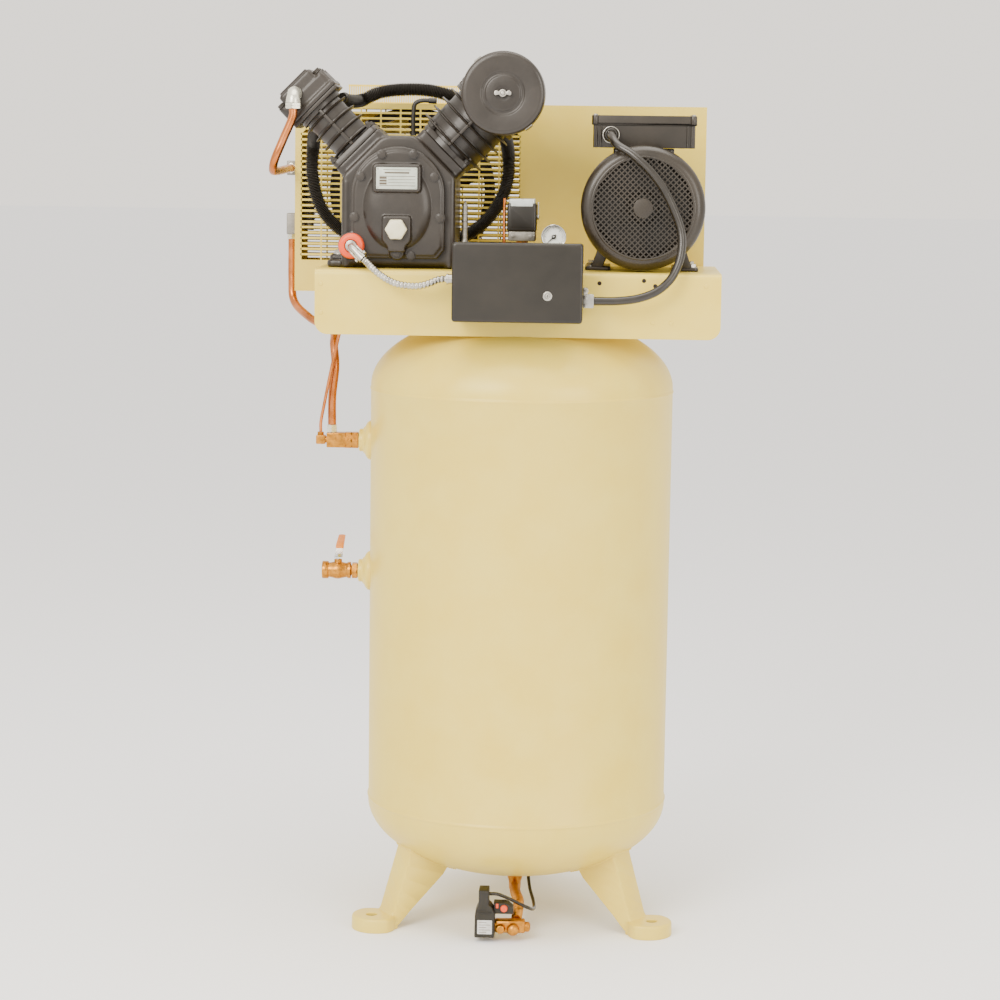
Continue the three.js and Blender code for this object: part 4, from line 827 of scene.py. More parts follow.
# Laid forwards, +Z turns to -Y with a quarter turn about X.
cover_bolts = []
for index, (x, z) in enumerate([(-31, 76), (31, 76), (-72, 33), (72, 33), (-84, -46), (84, -46),
                                (0, -114), (27, -119)]):
    front = cover_front - (2.6 if index < 6 else (9.2 if index == 6 else 0.2))
    cover_bolts += placed(hex_bolt(8.2, 5.4), crank_axis + [x, front, z], 90, "X", 17 * index)
piece("cover_bolts", cover_bolts, case_paint, crease=30)
seat_nuts = []
for tilt, half, spacing in ((-45, 58, 49), (45, 58, 49)):
    for x in (-49, 49):
        for y in (bore_y - 49, bore_y + 49):
            nut = hex_bolt(7.0, 6.5)
            stud = turned(rounded([(0, 0), (4, 0), (4, 13), (0, 13.6)], 0.6, 3), "z", (0, 0, 0), 20)
            seat_nuts += [moved(moved(part, (x, y, seat_reach + 12.2)), crank_axis, tilt)
                          for part in [*nut, stud]]
piece("seat_nuts", seat_nuts, dark_paint, crease=30)
foot_bolts = []
for side in (-1, 1):
    for y in (-50, 10):
        foot_bolts += placed(hex_bolt(9.0, 7.0), (crank_x + side * (base_half - 17), y,
                                                  case_low[2] + 22.6), 0, "Y", 20 + y)
piece("foot_bolts", foot_bolts, zinc, crease=30)

# ---- Nameplate -----------------------------------------------------------------------------
# Etched aluminium plate riveted in the cover's frame: a header, ruled lines and a dark mark at
# its left end, all drawn as thin raised enamel with no letters.
etched = coating("etched_aluminium", "steel", ("#b9c0b4", "#c8cdc0"), (0.35, 0.5), (0.7, 0.006),
                 metallic=0.55, patch=20.0)
plate_ink = coating("plate_ink", "black_paint", ("#4a3f31", "#5c5040"), (0.45, 0.6), (1.0, 0.01))
plate_y = belly_front - 4.4
piece("nameplate", [moved(block((-40.5, plate_y, 9.5), (39.5, plate_y + 1, 51.5), 0.3, 2),
                          crank_axis)], etched)
ruled = [((-27, 46.2), (27, 47.2)), ((-34, 33.6), (36, 34.6)), ((-17, 27.6), (36, 28.4)),
         ((-17, 21.6), (36, 22.4)), ((-34, 15.6), (36, 16.6)), ((-34, 29), (-20, 33)),
         ((-34, 23.5), (-20, 27.5)), ((-34, 18), (-20, 22)), ((-24, 39.5), (24, 42.5))]
piece("nameplate_lines", [moved(boxes([(a[0], plate_y - 0.12, a[1]) for a, b in ruled],
                                      [(b[0], plate_y + 0.2, b[1]) for a, b in ruled]),
                                crank_axis)], plate_ink)
rivets = [moved(turned(rounded([(0, plate_y - 1.1), (1.3, plate_y - 0.9), (2, plate_y + 0.2),
                                (0, plate_y + 0.3)], 0.4, 3), "y", (x, 0, z), 16), crank_axis)
          for x in (-37.5, 36.5) for z in (12.5, 48.5)]
piece("nameplate_rivets", rivets, zinc)

# ---- Oil filler plug -----------------------------------------------------------------------
# Moulded ivory nylon plug: a domed hexagon on a round collar, screwed into the cover's boss.
# It shows the faint gloss of plastic and the rounded corners of a moulding.
ivory = coating("ivory_nylon", "cream_enamel", ("#d3cba6", "#dfd8b8"), (0.28, 0.4), (1.4, 0.02),
                lump=(9.0, 0.12), patch=14.0)
plug_turn = np.linspace(0, 2 * np.pi, 72, endpoint=False)
plug_hex = 21.6 * np.cos(np.pi / 6) / np.cos((plug_turn + np.pi / 6) % (np.pi / 3) - np.pi / 6)
plug_hex = np.minimum(plug_hex, 21.0)
plug_face = belly_front - 10 - 0.4
plug_rings = [(0.0, 0.0), (19.0, 0.0), (None, -1.2), (None, -12.5), (17.6, -15.0), (14.0, -16.2),
              (11.0, -16.6), (0.0, -16.9)]
plug_points = np.stack([
    np.stack([(plug_hex if r is None else r + 0 * plug_turn) * np.sin(plug_turn),
              plug_face + y + 0 * plug_turn,
              (plug_hex if r is None else r + 0 * plug_turn) * np.cos(plug_turn)], 1)
    for r, y in plug_rings]).reshape(-1, 3)
piece("oil_plug", [moved((plug_points, grid(8, 72, False, True)), crank_axis + [0, 0, plug_z]),
                   moved(turned(rounded([(0, -6.5), (12, -6.5), (12, 18), (0, 18)], 1, 3), "y",
                                (0, plug_face + 6, plug_z), 40), crank_axis)],
      ivory, stands_for=["oil_filler_plug"], crease=28)

# ---- Oil level switch ----------------------------------------------------------------------
# Orange nylon switch body in the cover's lobe, with a zinc angle connector clamped in its middle
# by a fork and one screw. The conduit starts at the connector's end.
signal_orange = coating("signal_orange", "signal_orange", ("#d8400f", "#e4501c"), (0.3, 0.45),
                        (1.1, 0.02), patch=12.0)
switch_front = cover_front - 24
clamp_end = np.array([switch_x + 26, switch_front - 15, switch_z - 24.0])
clamp_step = np.array([0.62, -0.2, -0.56])
piece("oil_switch_body", [moved(looped(rounded([
    (11.5, switch_front + 7), (13, switch_front + 0.5), (20, switch_front), (25, switch_front + 4),
    (25, cover_front - 2), (12, cover_front - 2)], [1, 1.5, 3, 3, 1, 1], 5, True), "y",
    (switch_x, 0, switch_z), 64), crank_axis)], signal_orange, stands_for=["oil_level_switch"])
knuckle = np.array([[switch_x, switch_front + 12, switch_z], [switch_x, switch_front + 2, switch_z],
                    [switch_x + 2, switch_front - 5, switch_z - 1.5],
                    [switch_x + 8, switch_front - 9, switch_z - 7], clamp_end - 16 * clamp_step])
fork = clamp_step / np.linalg.norm(clamp_step)
fork_side = np.cross(fork, [0, -1, 0])
fork_side /= np.linalg.norm(fork_side)
bits = [swept(rounded(knuckle, 5, 4), 6.4, 20),
        swept([clamp_end - 19 * clamp_step, clamp_end - 3 * clamp_step], 8.4, 28),
        swept([clamp_end - 8 * clamp_step, clamp_end], 9.6, 28),
        turned(rounded([(0, switch_front + 3), (11.2, switch_front + 3), (11.2, switch_front + 8),
                        (0, switch_front + 8)], 1, 3), "y", (switch_x, 0, switch_z), 40)]
for side in (-1, 1):
    arm_line = [knuckle[1] + side * 7.5 * fork_side + [0, -3, 0],
                knuckle[3] + side * 8.2 * fork_side + [0, -2, 0],
                clamp_end - 8 * clamp_step + side * 8.6 * fork_side]
    bits.append(swept(rounded(arm_line, 4, 4), 2.3, 12))
screw_line = [clamp_end - 9 * clamp_step - 13 * fork_side, clamp_end - 9 * clamp_step + 13 * fork_side]
bits.append(swept(screw_line, 2.0, 12))
bits.append(swept([screw_line[0], screw_line[0] + 4 * fork_side], 4.2, 6))
bits.append(swept([screw_line[1], screw_line[1] - 3 * fork_side], 4.0, 16))
piece("oil_switch_connector", [moved(part, crank_axis) for part in bits], zinc)

# ---- Cylinders, valve plates and heads -----------------------------------------------------
# Two finned iron cylinders at 45 degrees on the crankcase seats, each closed by a steel valve
# plate and a cast head. Barrels swell between the fins and one rib crosses them at the front.
cylinder_end = seat_reach + 112.3
fin_pitch = 24.0


def fin_profile(bore, barrel, fin):
    """A cylinder in section as a closed loop: up the outside, fin by fin, and back down the bore.
    Between fins the barrel swells by half a sine wave; each fin tapers to a rounded rim."""
    line = [(barrel, seat_reach + 11)]
    start = seat_reach + 18.3
    while start < cylinder_end - 14:
        swell = np.linspace(0, 1, 7)[1:-1]
        gap = max(start - line[-1][1], 1)
        line += [(barrel + 0.18 * (fin - barrel) * np.sin(np.pi * s), line[0][1] if gap < 2 else
                  line[-1][1] + gap * 0.16) for s in swell]
        line += [(barrel + 2, start - 0.4), (fin - 1, start + 1.1), (fin, start + 2.4),
                 (fin - 1, start + 3.7), (barrel + 2, start + 5.2)]
        start += fin_pitch
    line += [(barrel + 1, cylinder_end - 10), (fin - 5, cylinder_end - 9), (fin - 4, cylinder_end - 8),
             (fin - 4, cylinder_end), (bore, cylinder_end), (bore, seat_reach + 0.3),
             (barrel, seat_reach + 0.3)]
    return line


def cylinder(name, node_name, bore, barrel, fin, tilt, bulge):
    """The finned barrel, the square foot with its corner bosses and the front rib."""
    square = rounded([(-56, -56), (56, -56), (56, 56), (-56, 56)], 10, 13, True)
    hole = ring_of(bore + 1.2, (0, 0), len(square), np.arctan2(square[0, 1], square[0, 0]))
    loops = [(square, seat_reach + 0.3), (square, seat_reach + 11), (square * 0.985, seat_reach + 12.2),
             (hole, seat_reach + 12.2), (hole, seat_reach + 0.3)]
    foot_points = np.concatenate([np.column_stack([loop[:, 0], loop[:, 1] + bore_y, z + 0 * loop[:, 0]])
                                  for loop, z in loops])
    rib = plate(rounded([(bore_y - fin + 1.5, seat_reach + 12), (bore_y - fin + 1.5, cylinder_end - 6),
                         (bore_y - barrel + 5, cylinder_end - 4),
                         (bore_y - barrel + 5, seat_reach + 11)],
                        3, 4, True), -bulge, bulge, 1.2, "x")
    return piece(name, [moved(part, crank_axis, tilt) for part in (
        looped(fin_profile(bore, barrel, fin), "z", (0, bore_y, 0), 96),
        (foot_points, grid(5, len(square), True, True)), rib)], dark_paint,
        stands_for=[node_name], crease=50)


cylinder("high_cylinder_casting", "high_pressure_cylinder", 32, 40, 52, -45, 3.4)
cylinder("low_cylinder_casting", "low_pressure_cylinder", 51, 62, 79, 45, 3.0)
for name, half, tilt in (("high_pressure", 58, -45), ("low_pressure", 72, 45)):
    piece(name + "_valve_steel", [upright(half, bore_y - half, bore_y + half, cylinder_end + 0.3,
                                          cylinder_end + 7.3, 6, 0.5, tilt)],
          dark_paint, stands_for=[name + "_valve_plate"])

head_start = cylinder_end + 7.6


def head(name, node_name, half, depth, rise, top_half, top_depth, tilt, corner, spacing):
    """A head: a flanged block, a narrower raised cap, bolt columns down its sides and cooling
    ribs over the cap."""
    parts = [upright(half, bore_y - depth, bore_y + depth, head_start, head_start + 11, 9, 2, tilt),
             upright(half - 3, bore_y - depth + 3, bore_y + depth - 3, head_start + 8,
                     head_start + rise, corner + 5, 5, tilt),
             upright(top_half, bore_y - top_depth, bore_y + top_depth, head_start + rise - 5,
                     head_start + rise + 21, 9, 5, tilt)]
    for x in (-half + 11, half - 11):
        for y in spacing:
            parts.append(moved(turned(rounded([(0, head_start + 3), (10, head_start + 3),
                                               (9, head_start + rise + 3), (0, head_start + rise + 3)],
                                              2, 4), "z", (x, bore_y + y, 0), 24), crank_axis, tilt))
    for y in np.linspace(-top_depth + 14, top_depth - 14, 4):
        parts.append(upright(top_half - 6, bore_y + y - 3.5, bore_y + y + 3.5,
                             head_start + rise + 10, head_start + rise + 26, 3, 2.5, tilt))
    return casting(name, parts, case_paint, [node_name], (), 1.9, 4)


head("high_head_casting", "high_pressure_head", 60, 58, 38, 42, 54, -45, 6, (-44, 0, 44))
head("low_head_casting", "low_pressure_head", 74, 68, 32, 50, 54, 45, 10, (-52, 0, 52))
head_bolts = []
for tilt, half, rise, spacing in ((-45, 60, 38, (-44, 0, 44)), (45, 74, 32, (-52, 0, 52))):
    for x in (-half + 11, half - 11):
        for y in spacing:
            head_bolts += [moved(moved(part, (x, bore_y + y, head_start + rise + 2.4)), crank_axis,
                                 tilt) for part in hex_bolt(7.6, 6.0)]
piece("head_bolts", head_bolts, dark_paint, crease=30)

# ---- Air filter ----------------------------------------------------------------------------
# A pressed steel canister with two embossed rings on its face over a shallow base, two spring
# clips on its rim, and a zinc wing nut on the stud through its middle.
filter_x, _, filter_z = centre("filter_wing_nut")
cover_edge = (corners("filter_cover")[1] - corners("filter_cover")[0])[0] / 2
filter_front, cover_back = corners("filter_cover")[0][1], corners("filter_cover")[1][1]
base_back = corners("filter_base")[1][1]
filter_middle = np.array([filter_x, 0, filter_z])
pressing = [(4.8, 0.6), (12, 0.6), (15, 0.2), (33, 0.4), (35, 2.6), (38, 3.2), (41, 2.6), (43, 0.5),
            (cover_edge - 13, 0.2), (cover_edge - 9, 0.0), (cover_edge - 3, 1.6),
            (cover_edge - 0.4, 6.5), (cover_edge, 10), (cover_edge, 30), (cover_edge - 1.6, 32),
            (cover_edge - 1.6, 38), (cover_edge, 40), (cover_edge, cover_back - filter_front - 3),
            (cover_edge - 0.2, cover_back - filter_front), (cover_edge - 2, cover_back - filter_front),
            (cover_edge - 2, 9), (cover_edge - 9, 3.4), (45, 3.0), (38, 5.2), (30, 3.0), (4.8, 3.0)]
piece("filter_canister", [moved(looped(rounded([(r, filter_front + y) for r, y in pressing], 1.6, 3,
                                               True), "y", (0, 0, 0), 160), filter_middle)],
      case_paint, stands_for=["filter_cover"], crease=45)
bowl = rounded([(0, base_back), (60, base_back), (cover_edge - 5, base_back - 3),
                (cover_edge - 3, base_back - 8), (cover_edge - 3, base_back - 10),
                (cover_edge - 6, base_back - 8.4), (0, base_back - 6)], 2, 4)
piece("filter_bowl", [
    moved(turned(bowl, "y", (0, 0, 0), 128), filter_middle),
    moved(turned([(0, base_back - 2), (24, base_back - 2), (24, bore_y - 68.4), (0, bore_y - 68.4)],
                 "y", (0, 0, 0), 48), filter_middle)], dark_paint, stands_for=["filter_base"])
clips = []
for degrees in (-38, 142):
    spring = rounded([(cover_edge - 7, 10), (cover_edge + 1.6, 12), (cover_edge + 3.4, 26),
                      (cover_edge + 2.0, 44), (cover_edge + 3.2, 60), (cover_edge - 2.0, 66)], 3, 5)
    along = np.gradient(spring, axis=0)
    along = along / np.linalg.norm(along, axis=1, keepdims=True)
    outline = np.concatenate([spring, (spring + along[:, ::-1] * [-1.2, 1.2])[::-1]])
    points, faces = plate([(r, filter_front + y) for r, y in outline], -8, 8, 0.3, "z", 2)
    clips.append(moved(moved((points[:, [2, 1, 0]], faces), (0, 0, 0), degrees), filter_middle))
piece("filter_clips", clips, zinc)
wing_half = np.linspace(0, np.pi, 24)
wing = np.concatenate([[(-6.5, -2.5)], np.stack([-11.5 - 5.2 * np.sin(wing_half),
                                                 -5.2 * np.cos(wing_half)], 1)[4:],
                       [(-6.5, 2.5)]])
nut_front = filter_front - 12
wing_parts = [looped(rounded([(4.4, filter_front - 9.4), (7, filter_front - 9.4),
                              (8, filter_front - 0.5), (4.4, filter_front - 0.5)], 0.8, 3, True),
                     "y", (0, 0, 0), 40)]
for side in (1, -1):
    wing_parts.append(plate(wing * [side, 1], nut_front + 0.6, filter_front - 5.0, 0.9))
piece("wing_nut", [moved(part, filter_middle) for part in wing_parts], zinc, body="wing_nut",
      stands_for=["filter_wing_nut"])
piece("filter_stud", [moved(turned(rounded([(0, filter_front - 12.4), (3.6, filter_front - 12.4),
                                            (3.9, filter_front + 12), (0, filter_front + 12)],
                                           0.6, 3), "y", (0, 0, 0), 24), filter_middle)], zinc)

# ---- Motor ---------------------------------------------------------------------------------
# Rolled steel frame with end bells and welded feet, and a spun fan cover with a rounded shoulder
# round a woven grille. Satin black like the pump.
frame_front, frame_back = -100.0, 118.0
frame_radius = 112.0
shroud_low, shroud_high = corners("motor_fan_cover")
shroud_radius = (shroud_high - shroud_low)[0] / 2
grille_radius = 99.0
motor_paint = coating("motor_paint", "black_paint", ("#1a1306", "#261d0e"), (0.32, 0.5),
                      (1.8, 0.05), lump=(30.0, 0.25), coat=0.2)
shell = [(frame_radius - 6, frame_front + 2), (frame_radius - 2, frame_front),
         (frame_radius, frame_front + 10), (frame_radius - 2.5, frame_front + 24),
         (frame_radius - 2.5, frame_back - 34), (frame_radius, frame_back - 30),
         (frame_radius, frame_back - 12), (frame_radius - 14, frame_back - 1),
         (60, frame_back), (15.6, frame_back), (15.6, frame_back - 13.5), (72, frame_back - 14.5),
         (72, frame_front + 14.5), (15.6, frame_front + 13.5), (15.6, frame_front),
         (90, frame_front)]
motor_parts = [looped(rounded(shell, 3, 4, True), "y", (0, 0, 0), 128)]
for turn_at in np.linspace(0, 2 * np.pi, 28, endpoint=False):
    if abs(np.sin(turn_at)) < 0.72:
        rib_at = np.array([[np.cos(turn_at), 0, np.sin(turn_at)]]) * (frame_radius - 4.2)
        rib = rib_at + np.array([[0, frame_front + 30, 0], [0, frame_back - 38, 0]])
        motor_parts.append(swept(rib, 3.8, 10))
feet_z = corners("motor_frame")[0][2] - motor_z
for side in (-1, 1):
    motor_parts.append(block((side * 87 - 25, -90, feet_z), (side * 87 + 25, 78, feet_z + 7), 1.5,
                             8, "z"))
    brace = rounded([(side * 100, feet_z + 5), (side * 78, feet_z + 5), (side * 60, -78),
                     (side * 66, -92), (side * 84, -70), (side * 92, feet_z + 26)], 5, 4, True)
    for y in (-84, 60):
        motor_parts.append(plate(brace, y - 3, y + 3, 1))
motor_parts.append(block((-60, -80, 90), (60, 30, 115.6), 2, 8, "z"))
piece("motor_shell", [moved(part, motor_axis) for part in motor_parts], motor_paint,
      stands_for=["motor_frame"])
motor_bolts = []
for x in (-100, 100):
    for y in (-70, 60):
        motor_bolts += placed(hex_bolt(8.0, 6.0), motor_axis + [x, y, feet_z + 6.8], 0, "Y", y)
piece("motor_foot_bolts", motor_bolts, zinc, crease=30)

# The shoulder is a quarter circle from the drum to the grille; a bead runs round the grille.
shroud_front = shroud_low[1]
t = np.linspace(0, np.pi / 2, 14)
drum = [(shroud_radius - 0.6, frame_front - 0.4), (shroud_radius, frame_front - 6)]
drum += list(zip(shroud_radius - 19 + 19 * np.cos(t), shroud_front + 20 - 19 * np.sin(t)))
drum += [(grille_radius + 2, shroud_front + 1), (grille_radius + 0.6, shroud_front),
         (grille_radius - 2, shroud_front + 0.4), (grille_radius - 2.6, shroud_front + 2.4),
         (grille_radius, shroud_front + 3.4)]
inside = [(r - 2.4, y + (2.4 if y < shroud_front + 19 else 0)) for r, y in drum[:16]][::-1]
cover_parts = [looped(np.array(drum + inside), "y", (0, 0, 0), 144)]
wire_reach = grille_radius - 0.5
offsets = np.arange(-wire_reach + 5, wire_reach - 2, 7.9)
halves = np.sqrt(wire_reach ** 2 - offsets ** 2)
for turn_at, depth in ((45, 0.0), (-45, 0.9)):
    bars = boxes(np.stack([offsets - 1.25, shroud_front + 0.6 + depth + 0 * offsets, -halves], 1),
                 np.stack([offsets + 1.25, shroud_front + 1.7 + depth + 0 * offsets, halves], 1))
    cover_parts.append(moved(bars, (0, 0, 0), turn_at))
cover_parts.append(turned(rounded([(0, shroud_front + 0.3), (19, shroud_front + 0.3),
                                   (20, shroud_front + 2.8), (0, shroud_front + 2.8)], 0.8, 3),
                          "y", (0, 0, 0), 48))
piece("fan_cover", [moved(part, motor_axis) for part in cover_parts], motor_paint,
      stands_for=["motor_fan_cover"], crease=40)
rim_screws = []
for degrees in (25, 155, 205, 335):
    x, z = shroud_radius * np.cos(np.radians(degrees)), shroud_radius * np.sin(np.radians(degrees))
    spot = motor_axis + [x * 0.985, frame_front - 10, z * 0.985]
    rim_screws += placed(hex_bolt(4.2, 1.4, False), spot, 90 - degrees, "Y")
piece("fan_cover_screws", rim_screws, zinc, crease=30)

# Six radial fan blades of moulded nylon behind the grille, rooted in a hub.
fan_black = coating("fan_nylon", "black_plastic", ("#141109", "#1c180e"), (0.45, 0.62), (1.6, 0.03))
blade_line = rounded([(20, -2.2), (90, -1.3), (92, 0), (90, 1.3), (20, 2.2)], 1.0, 4, True)
blades = []
for k in range(6):
    points, faces = plate(blade_line, frame_front - 42, frame_front - 16, 0.8, "y")
    blades.append(moved((points, faces), motor_axis, -90 + 60 * k))
blades.append(moved(looped(rounded([(14.9, frame_front - 44), (26, frame_front - 44),
                                    (30, frame_front - 36), (30, frame_front - 14),
                                    (14.9, frame_front - 14)], 2, 4, True), "y", (0, 0, 0), 64),
                    motor_axis))
piece("fan_blades", blades, fan_black, body="rotor", stands_for=["motor_fan"])

# ---- Terminal box --------------------------------------------------------------------------
# A folded steel box on the motor with ribbed corners, a thick-lipped lid on four screws and the
# lead's compression gland: a hexagon, a domed nut and a ring.
box_low, box_high = corners("terminal_box")
lid_low, lid_high = corners("terminal_box_lid")
wall_low = np.array([lid_low[0] + 3, lid_low[1] + 3, box_low[2]])
wall_high = np.array([lid_high[0] - 3, lid_high[1] - 3, box_high[2]])


def walled(low, high, wall, corner, open_top=True, edge=0.8):
    """An open tray: an outline of rounded corners carried up, over the rim and down inside. Its
    bottom edge is a quarter circle, moved in by one minus sine as it rises by one minus cosine."""
    sheet = rounded([(low[0], low[1]), (high[0], low[1]), (high[0], high[1]), (low[0], high[1])],
                    corner, 5, True)
    middle = (low[:2] + high[:2]) / 2
    span = (high[:2] - low[:2]) / 2
    t = np.linspace(0, np.pi / 2, 6)
    shapes = list(zip(edge * (1 - np.sin(t)), low[2] + edge * (1 - np.cos(t))))
    shapes += [(0, high[2] - 0.5), (0.4, high[2]), (wall - 0.4, high[2]), (wall, high[2] - 0.5),
               (wall, low[2] + wall)]
    rings = []
    for inset, z in shapes:
        rings.append(np.column_stack([(sheet - middle) * (1 - inset / span) + middle,
                                      z + 0 * sheet[:, 0]]))
    count = len(sheet)
    if not open_top:
        rings = [ring * [1, 1, -1] + [0, 0, low[2] + high[2]] for ring in rings]
    return np.concatenate(rings), grid(len(rings), count, False, True) + [
        list(range(count)), list(range((len(rings) - 1) * count, len(rings) * count))]


gland_x, gland_z = motor_x - 65, motor_z + 141
gland_face = wall_low[1]
ribs = []
for x in (wall_low[0] + 7, wall_low[0] + 15, wall_high[0] - 15, wall_high[0] - 7):
    ribs.append(swept([(x, gland_face - 0.2, wall_low[2] + 2), (x, gland_face - 0.2,
                                                                wall_high[2] - 1)], 2.2, 12))
piece("terminal_tray", [walled(wall_low, wall_high, 3, 4), *ribs], motor_paint,
      stands_for=["terminal_box"])
lid_parts = [walled(lid_low, lid_high, 3, 7, False)]
lid_parts.append(framed(rounded([(lid_low[0], lid_low[2] + 0), (lid_high[0], lid_low[2]),
                                 (lid_high[0], lid_low[2] + 4), (lid_low[0], lid_low[2] + 4)],
                                1, 3, True),
                        rounded([(lid_low[0] + 3, lid_low[2] + 1), (lid_high[0] - 3, lid_low[2] + 1),
                                 (lid_high[0] - 3, lid_low[2] + 3), (lid_low[0] + 3, lid_low[2] + 3)],
                                1, 3, True), lid_low[1] - 0.9, lid_low[1] + 1))
for x in (lid_low[0] + 7, lid_high[0] - 7):
    lid_parts.append(turned(rounded([(0, lid_low[2] + 2), (7, lid_low[2] + 2), (7, lid_high[2] - 0.5),
                                     (0, lid_high[2] - 0.5)], 1, 3), "z", (x, lid_low[1] + 3.5, 0), 24))
piece("terminal_lid", lid_parts, motor_paint, stands_for=["terminal_box_lid"])
lid_screws = []
for x in (lid_low[0] + 7, lid_high[0] - 7):
    for y in (lid_low[1] + 7, lid_high[1] - 7):
        lid_screws += placed(hex_bolt(4.6, 2.6, False), (x, y, lid_high[2] - 0.2), 0, "Y", x)
piece("terminal_lid_screws", lid_screws, zinc, crease=30)
black_nylon = coating("black_nylon", "black_plastic", ("#100d05", "#19140a"), (0.3, 0.46),
                      (1.2, 0.03), patch=20.0)
gland_parts = placed(hex_bolt(17, 9.5, False), (gland_x, gland_face + 0.2, gland_z), 90, "X")
gland_parts.append(looped(rounded([
    (8.7, gland_face - 23.6), (11.6, gland_face - 23.2), (13.8, gland_face - 19),
    (14.2, gland_face - 10), (8.7, gland_face - 8)], 1.2, 4, True), "y", (gland_x, 0, gland_z), 64))
piece("motor_gland", gland_parts, black_nylon, crease=30)
piece("motor_gland_ring", [looped(rounded([
    (14.6, gland_face - 12.2), (16.6, gland_face - 12.2), (16.6, gland_face - 9.2),
    (14.6, gland_face - 9.2)], 0.8, 3, True), "y", (gland_x, 0, gland_z), 64)], zinc)

# ---- Finned tubes round the pump -----------------------------------------------------------
# Intercooler: steel tube with a helical fin of small pitch, painted black, curved from the low
# head to the high head over and under the flywheel, with plain ends in brazed sockets.


def route(points, step=2.0):
    """A smooth path through points: centripetal Catmull-Rom, whose spans are weighted by the
    square root of each gap, then resampled at an even step in millimetres."""
    p = np.array(points, float)
    p = np.concatenate([[2 * p[0] - p[1]], p, [2 * p[-1] - p[-2]]])
    knot = np.concatenate([[0], np.cumsum(np.linalg.norm(np.diff(p, axis=0), axis=1) ** 0.5)])
    t = np.linspace(0, 1, 40)[:-1]
    a, b, c, d = p[:-3], p[1:-2], p[2:-1], p[3:]
    ta, tb, tc, td = (k[:, None, None] for k in (knot[:-3], knot[1:-2], knot[2:-1], knot[3:]))
    u = tb + (tc - tb) * t[None, :, None]
    a, b, c, d = (q[:, None] for q in (a, b, c, d))
    ab = ((tb - u) * a + (u - ta) * b) / (tb - ta)
    bc = ((tc - u) * b + (u - tb) * c) / (tc - tb)
    cd = ((td - u) * c + (u - tc) * d) / (td - tc)
    abc = ((tc - u) * ab + (u - ta) * bc) / (tc - ta)
    bcd = ((td - u) * bc + (u - tb) * cd) / (td - tb)
    line = (((tc - u) * abc + (u - tb) * bcd) / (tc - tb)).reshape(-1, 3)
    line = np.concatenate([line, p[-2][None]])
    run = np.concatenate([[0], np.cumsum(np.linalg.norm(np.diff(line, axis=0), axis=1))])
    even = np.linspace(0, run[-1], max(int(run[-1] / step), 6) + 1)
    return np.stack([np.interp(even, run, line[:, k]) for k in range(3)], 1)


def finned(points, plain=12.0):
    """A finned tube: the radius swings between root and tip once every 3.2 mm, and stays at the
    root near both ends."""
    line = route(points, 0.8)
    run = np.arange(len(line)) * 0.8
    wave = np.abs(np.sin(np.pi * run / 3.2)) ** 0.6
    edge = np.clip(np.minimum(run, run[-1] - run) - plain, 0, 4) / 4
    return swept(line, 10.6 + 3.2 * wave * edge, 24)


ring_y = 118.0
over_line = [(-371, 24, deck + 333), (-362, 78, deck + 328), (-340, ring_y - 3, deck + 330),
             (-304, ring_y, deck + 346), (-252, ring_y, deck + 353), (-196, ring_y, deck + 351),
             (-150, ring_y - 3, deck + 338), (-124, 96, deck + 323), (-112, 58, deck + 314)]
under_line = [(-414, 18, deck + 278), (-428, 62, deck + 270), (-438, ring_y - 4, deck + 238),
              (-440, ring_y, deck + 178), (-420, ring_y, deck + 108), (-376, ring_y, deck + 63),
              (-300, ring_y, deck + 36), (-220, ring_y, deck + 30), (-140, ring_y, deck + 50),
              (-78, ring_y, deck + 94), (-42, ring_y, deck + 160), (-38, ring_y - 2, deck + 223),
              (-46, 84, deck + 263), (-58, 44, deck + 270)]
tube_paint = coating("tube_paint", "black_paint", ("#130f07", "#1c170c"), (0.4, 0.6), (1.0, 0.03))
piece("finned_tube_over", [finned(over_line)], tube_paint, stands_for=["intercooler_over"], crease=60)
piece("finned_tube_under", [finned(under_line)], tube_paint, stands_for=["intercooler_under"],
      crease=60)
breather_line = [(-222, -40, crank_z + 113.3), (-222, -40, deck + 303), (-219, -40, deck + 322),
                 (-208, -40, deck + 328), (-176, -40, deck + 328)]
breather = route(breather_line, 1.5)
piece("breather_pipe", [swept(breather, 4.4, 18), swept(breather[:4], [6.2, 6.2, 5.6, 4.6], 6),
                        swept(breather[-12:], [4.6] + [5.6] * 10 + [5.2], 18)],
      tube_paint, stands_for=["breather_tube"])

# ---- Discharge elbow, copper tubes and aftercooler -----------------------------------------
# Nickel plated elbow and compression nuts, drawn copper tube in soft patches of darker and lighter
# copper, and aluminium end blocks for the cooler that runs inside the guard.
nickel = coating("nickel_plate", "white_paint", ("#d3d2c2", "#e6e4d4"), (0.22, 0.38), (1.1, 0.02),
                 lump=(6.0, 0.15), metallic=0.75, patch=12.0)
copper = coating("drawn_copper", "copper", ("#a85f28", "#d98a55"), (0.2, 0.36), (0.8, 0.01),
                 lump=(14.0, 0.08), metallic=1.0, patch=46.0)
brass = coating("brass", "brass", ("#a66d22", "#cf9038"), (0.26, 0.44), (0.9, 0.02),
                lump=(5.0, 0.1), metallic=1.0, patch=10.0)
cast_aluminium = coating("cast_aluminium", "steel", ("#7a7772", "#93908a"), (0.42, 0.58),
                         (0.8, 0.04), metallic=0.9, patch=9.0)
elbow_low, elbow_high = corners("discharge_elbow")
elbow_x = (elbow_low[0] + elbow_high[0]) / 2
elbow_z = deck + 338
head_face = bore_y - 58.0
elbow_line = route([(elbow_x, head_face - 0.5, elbow_z), (elbow_x, head_face - 10, elbow_z),
                    (elbow_x, head_face - 20, elbow_z - 1.5), (elbow_x, head_face - 25.5, elbow_z - 8),
                    (elbow_x, head_face - 26, elbow_z - 18)], 1.0)
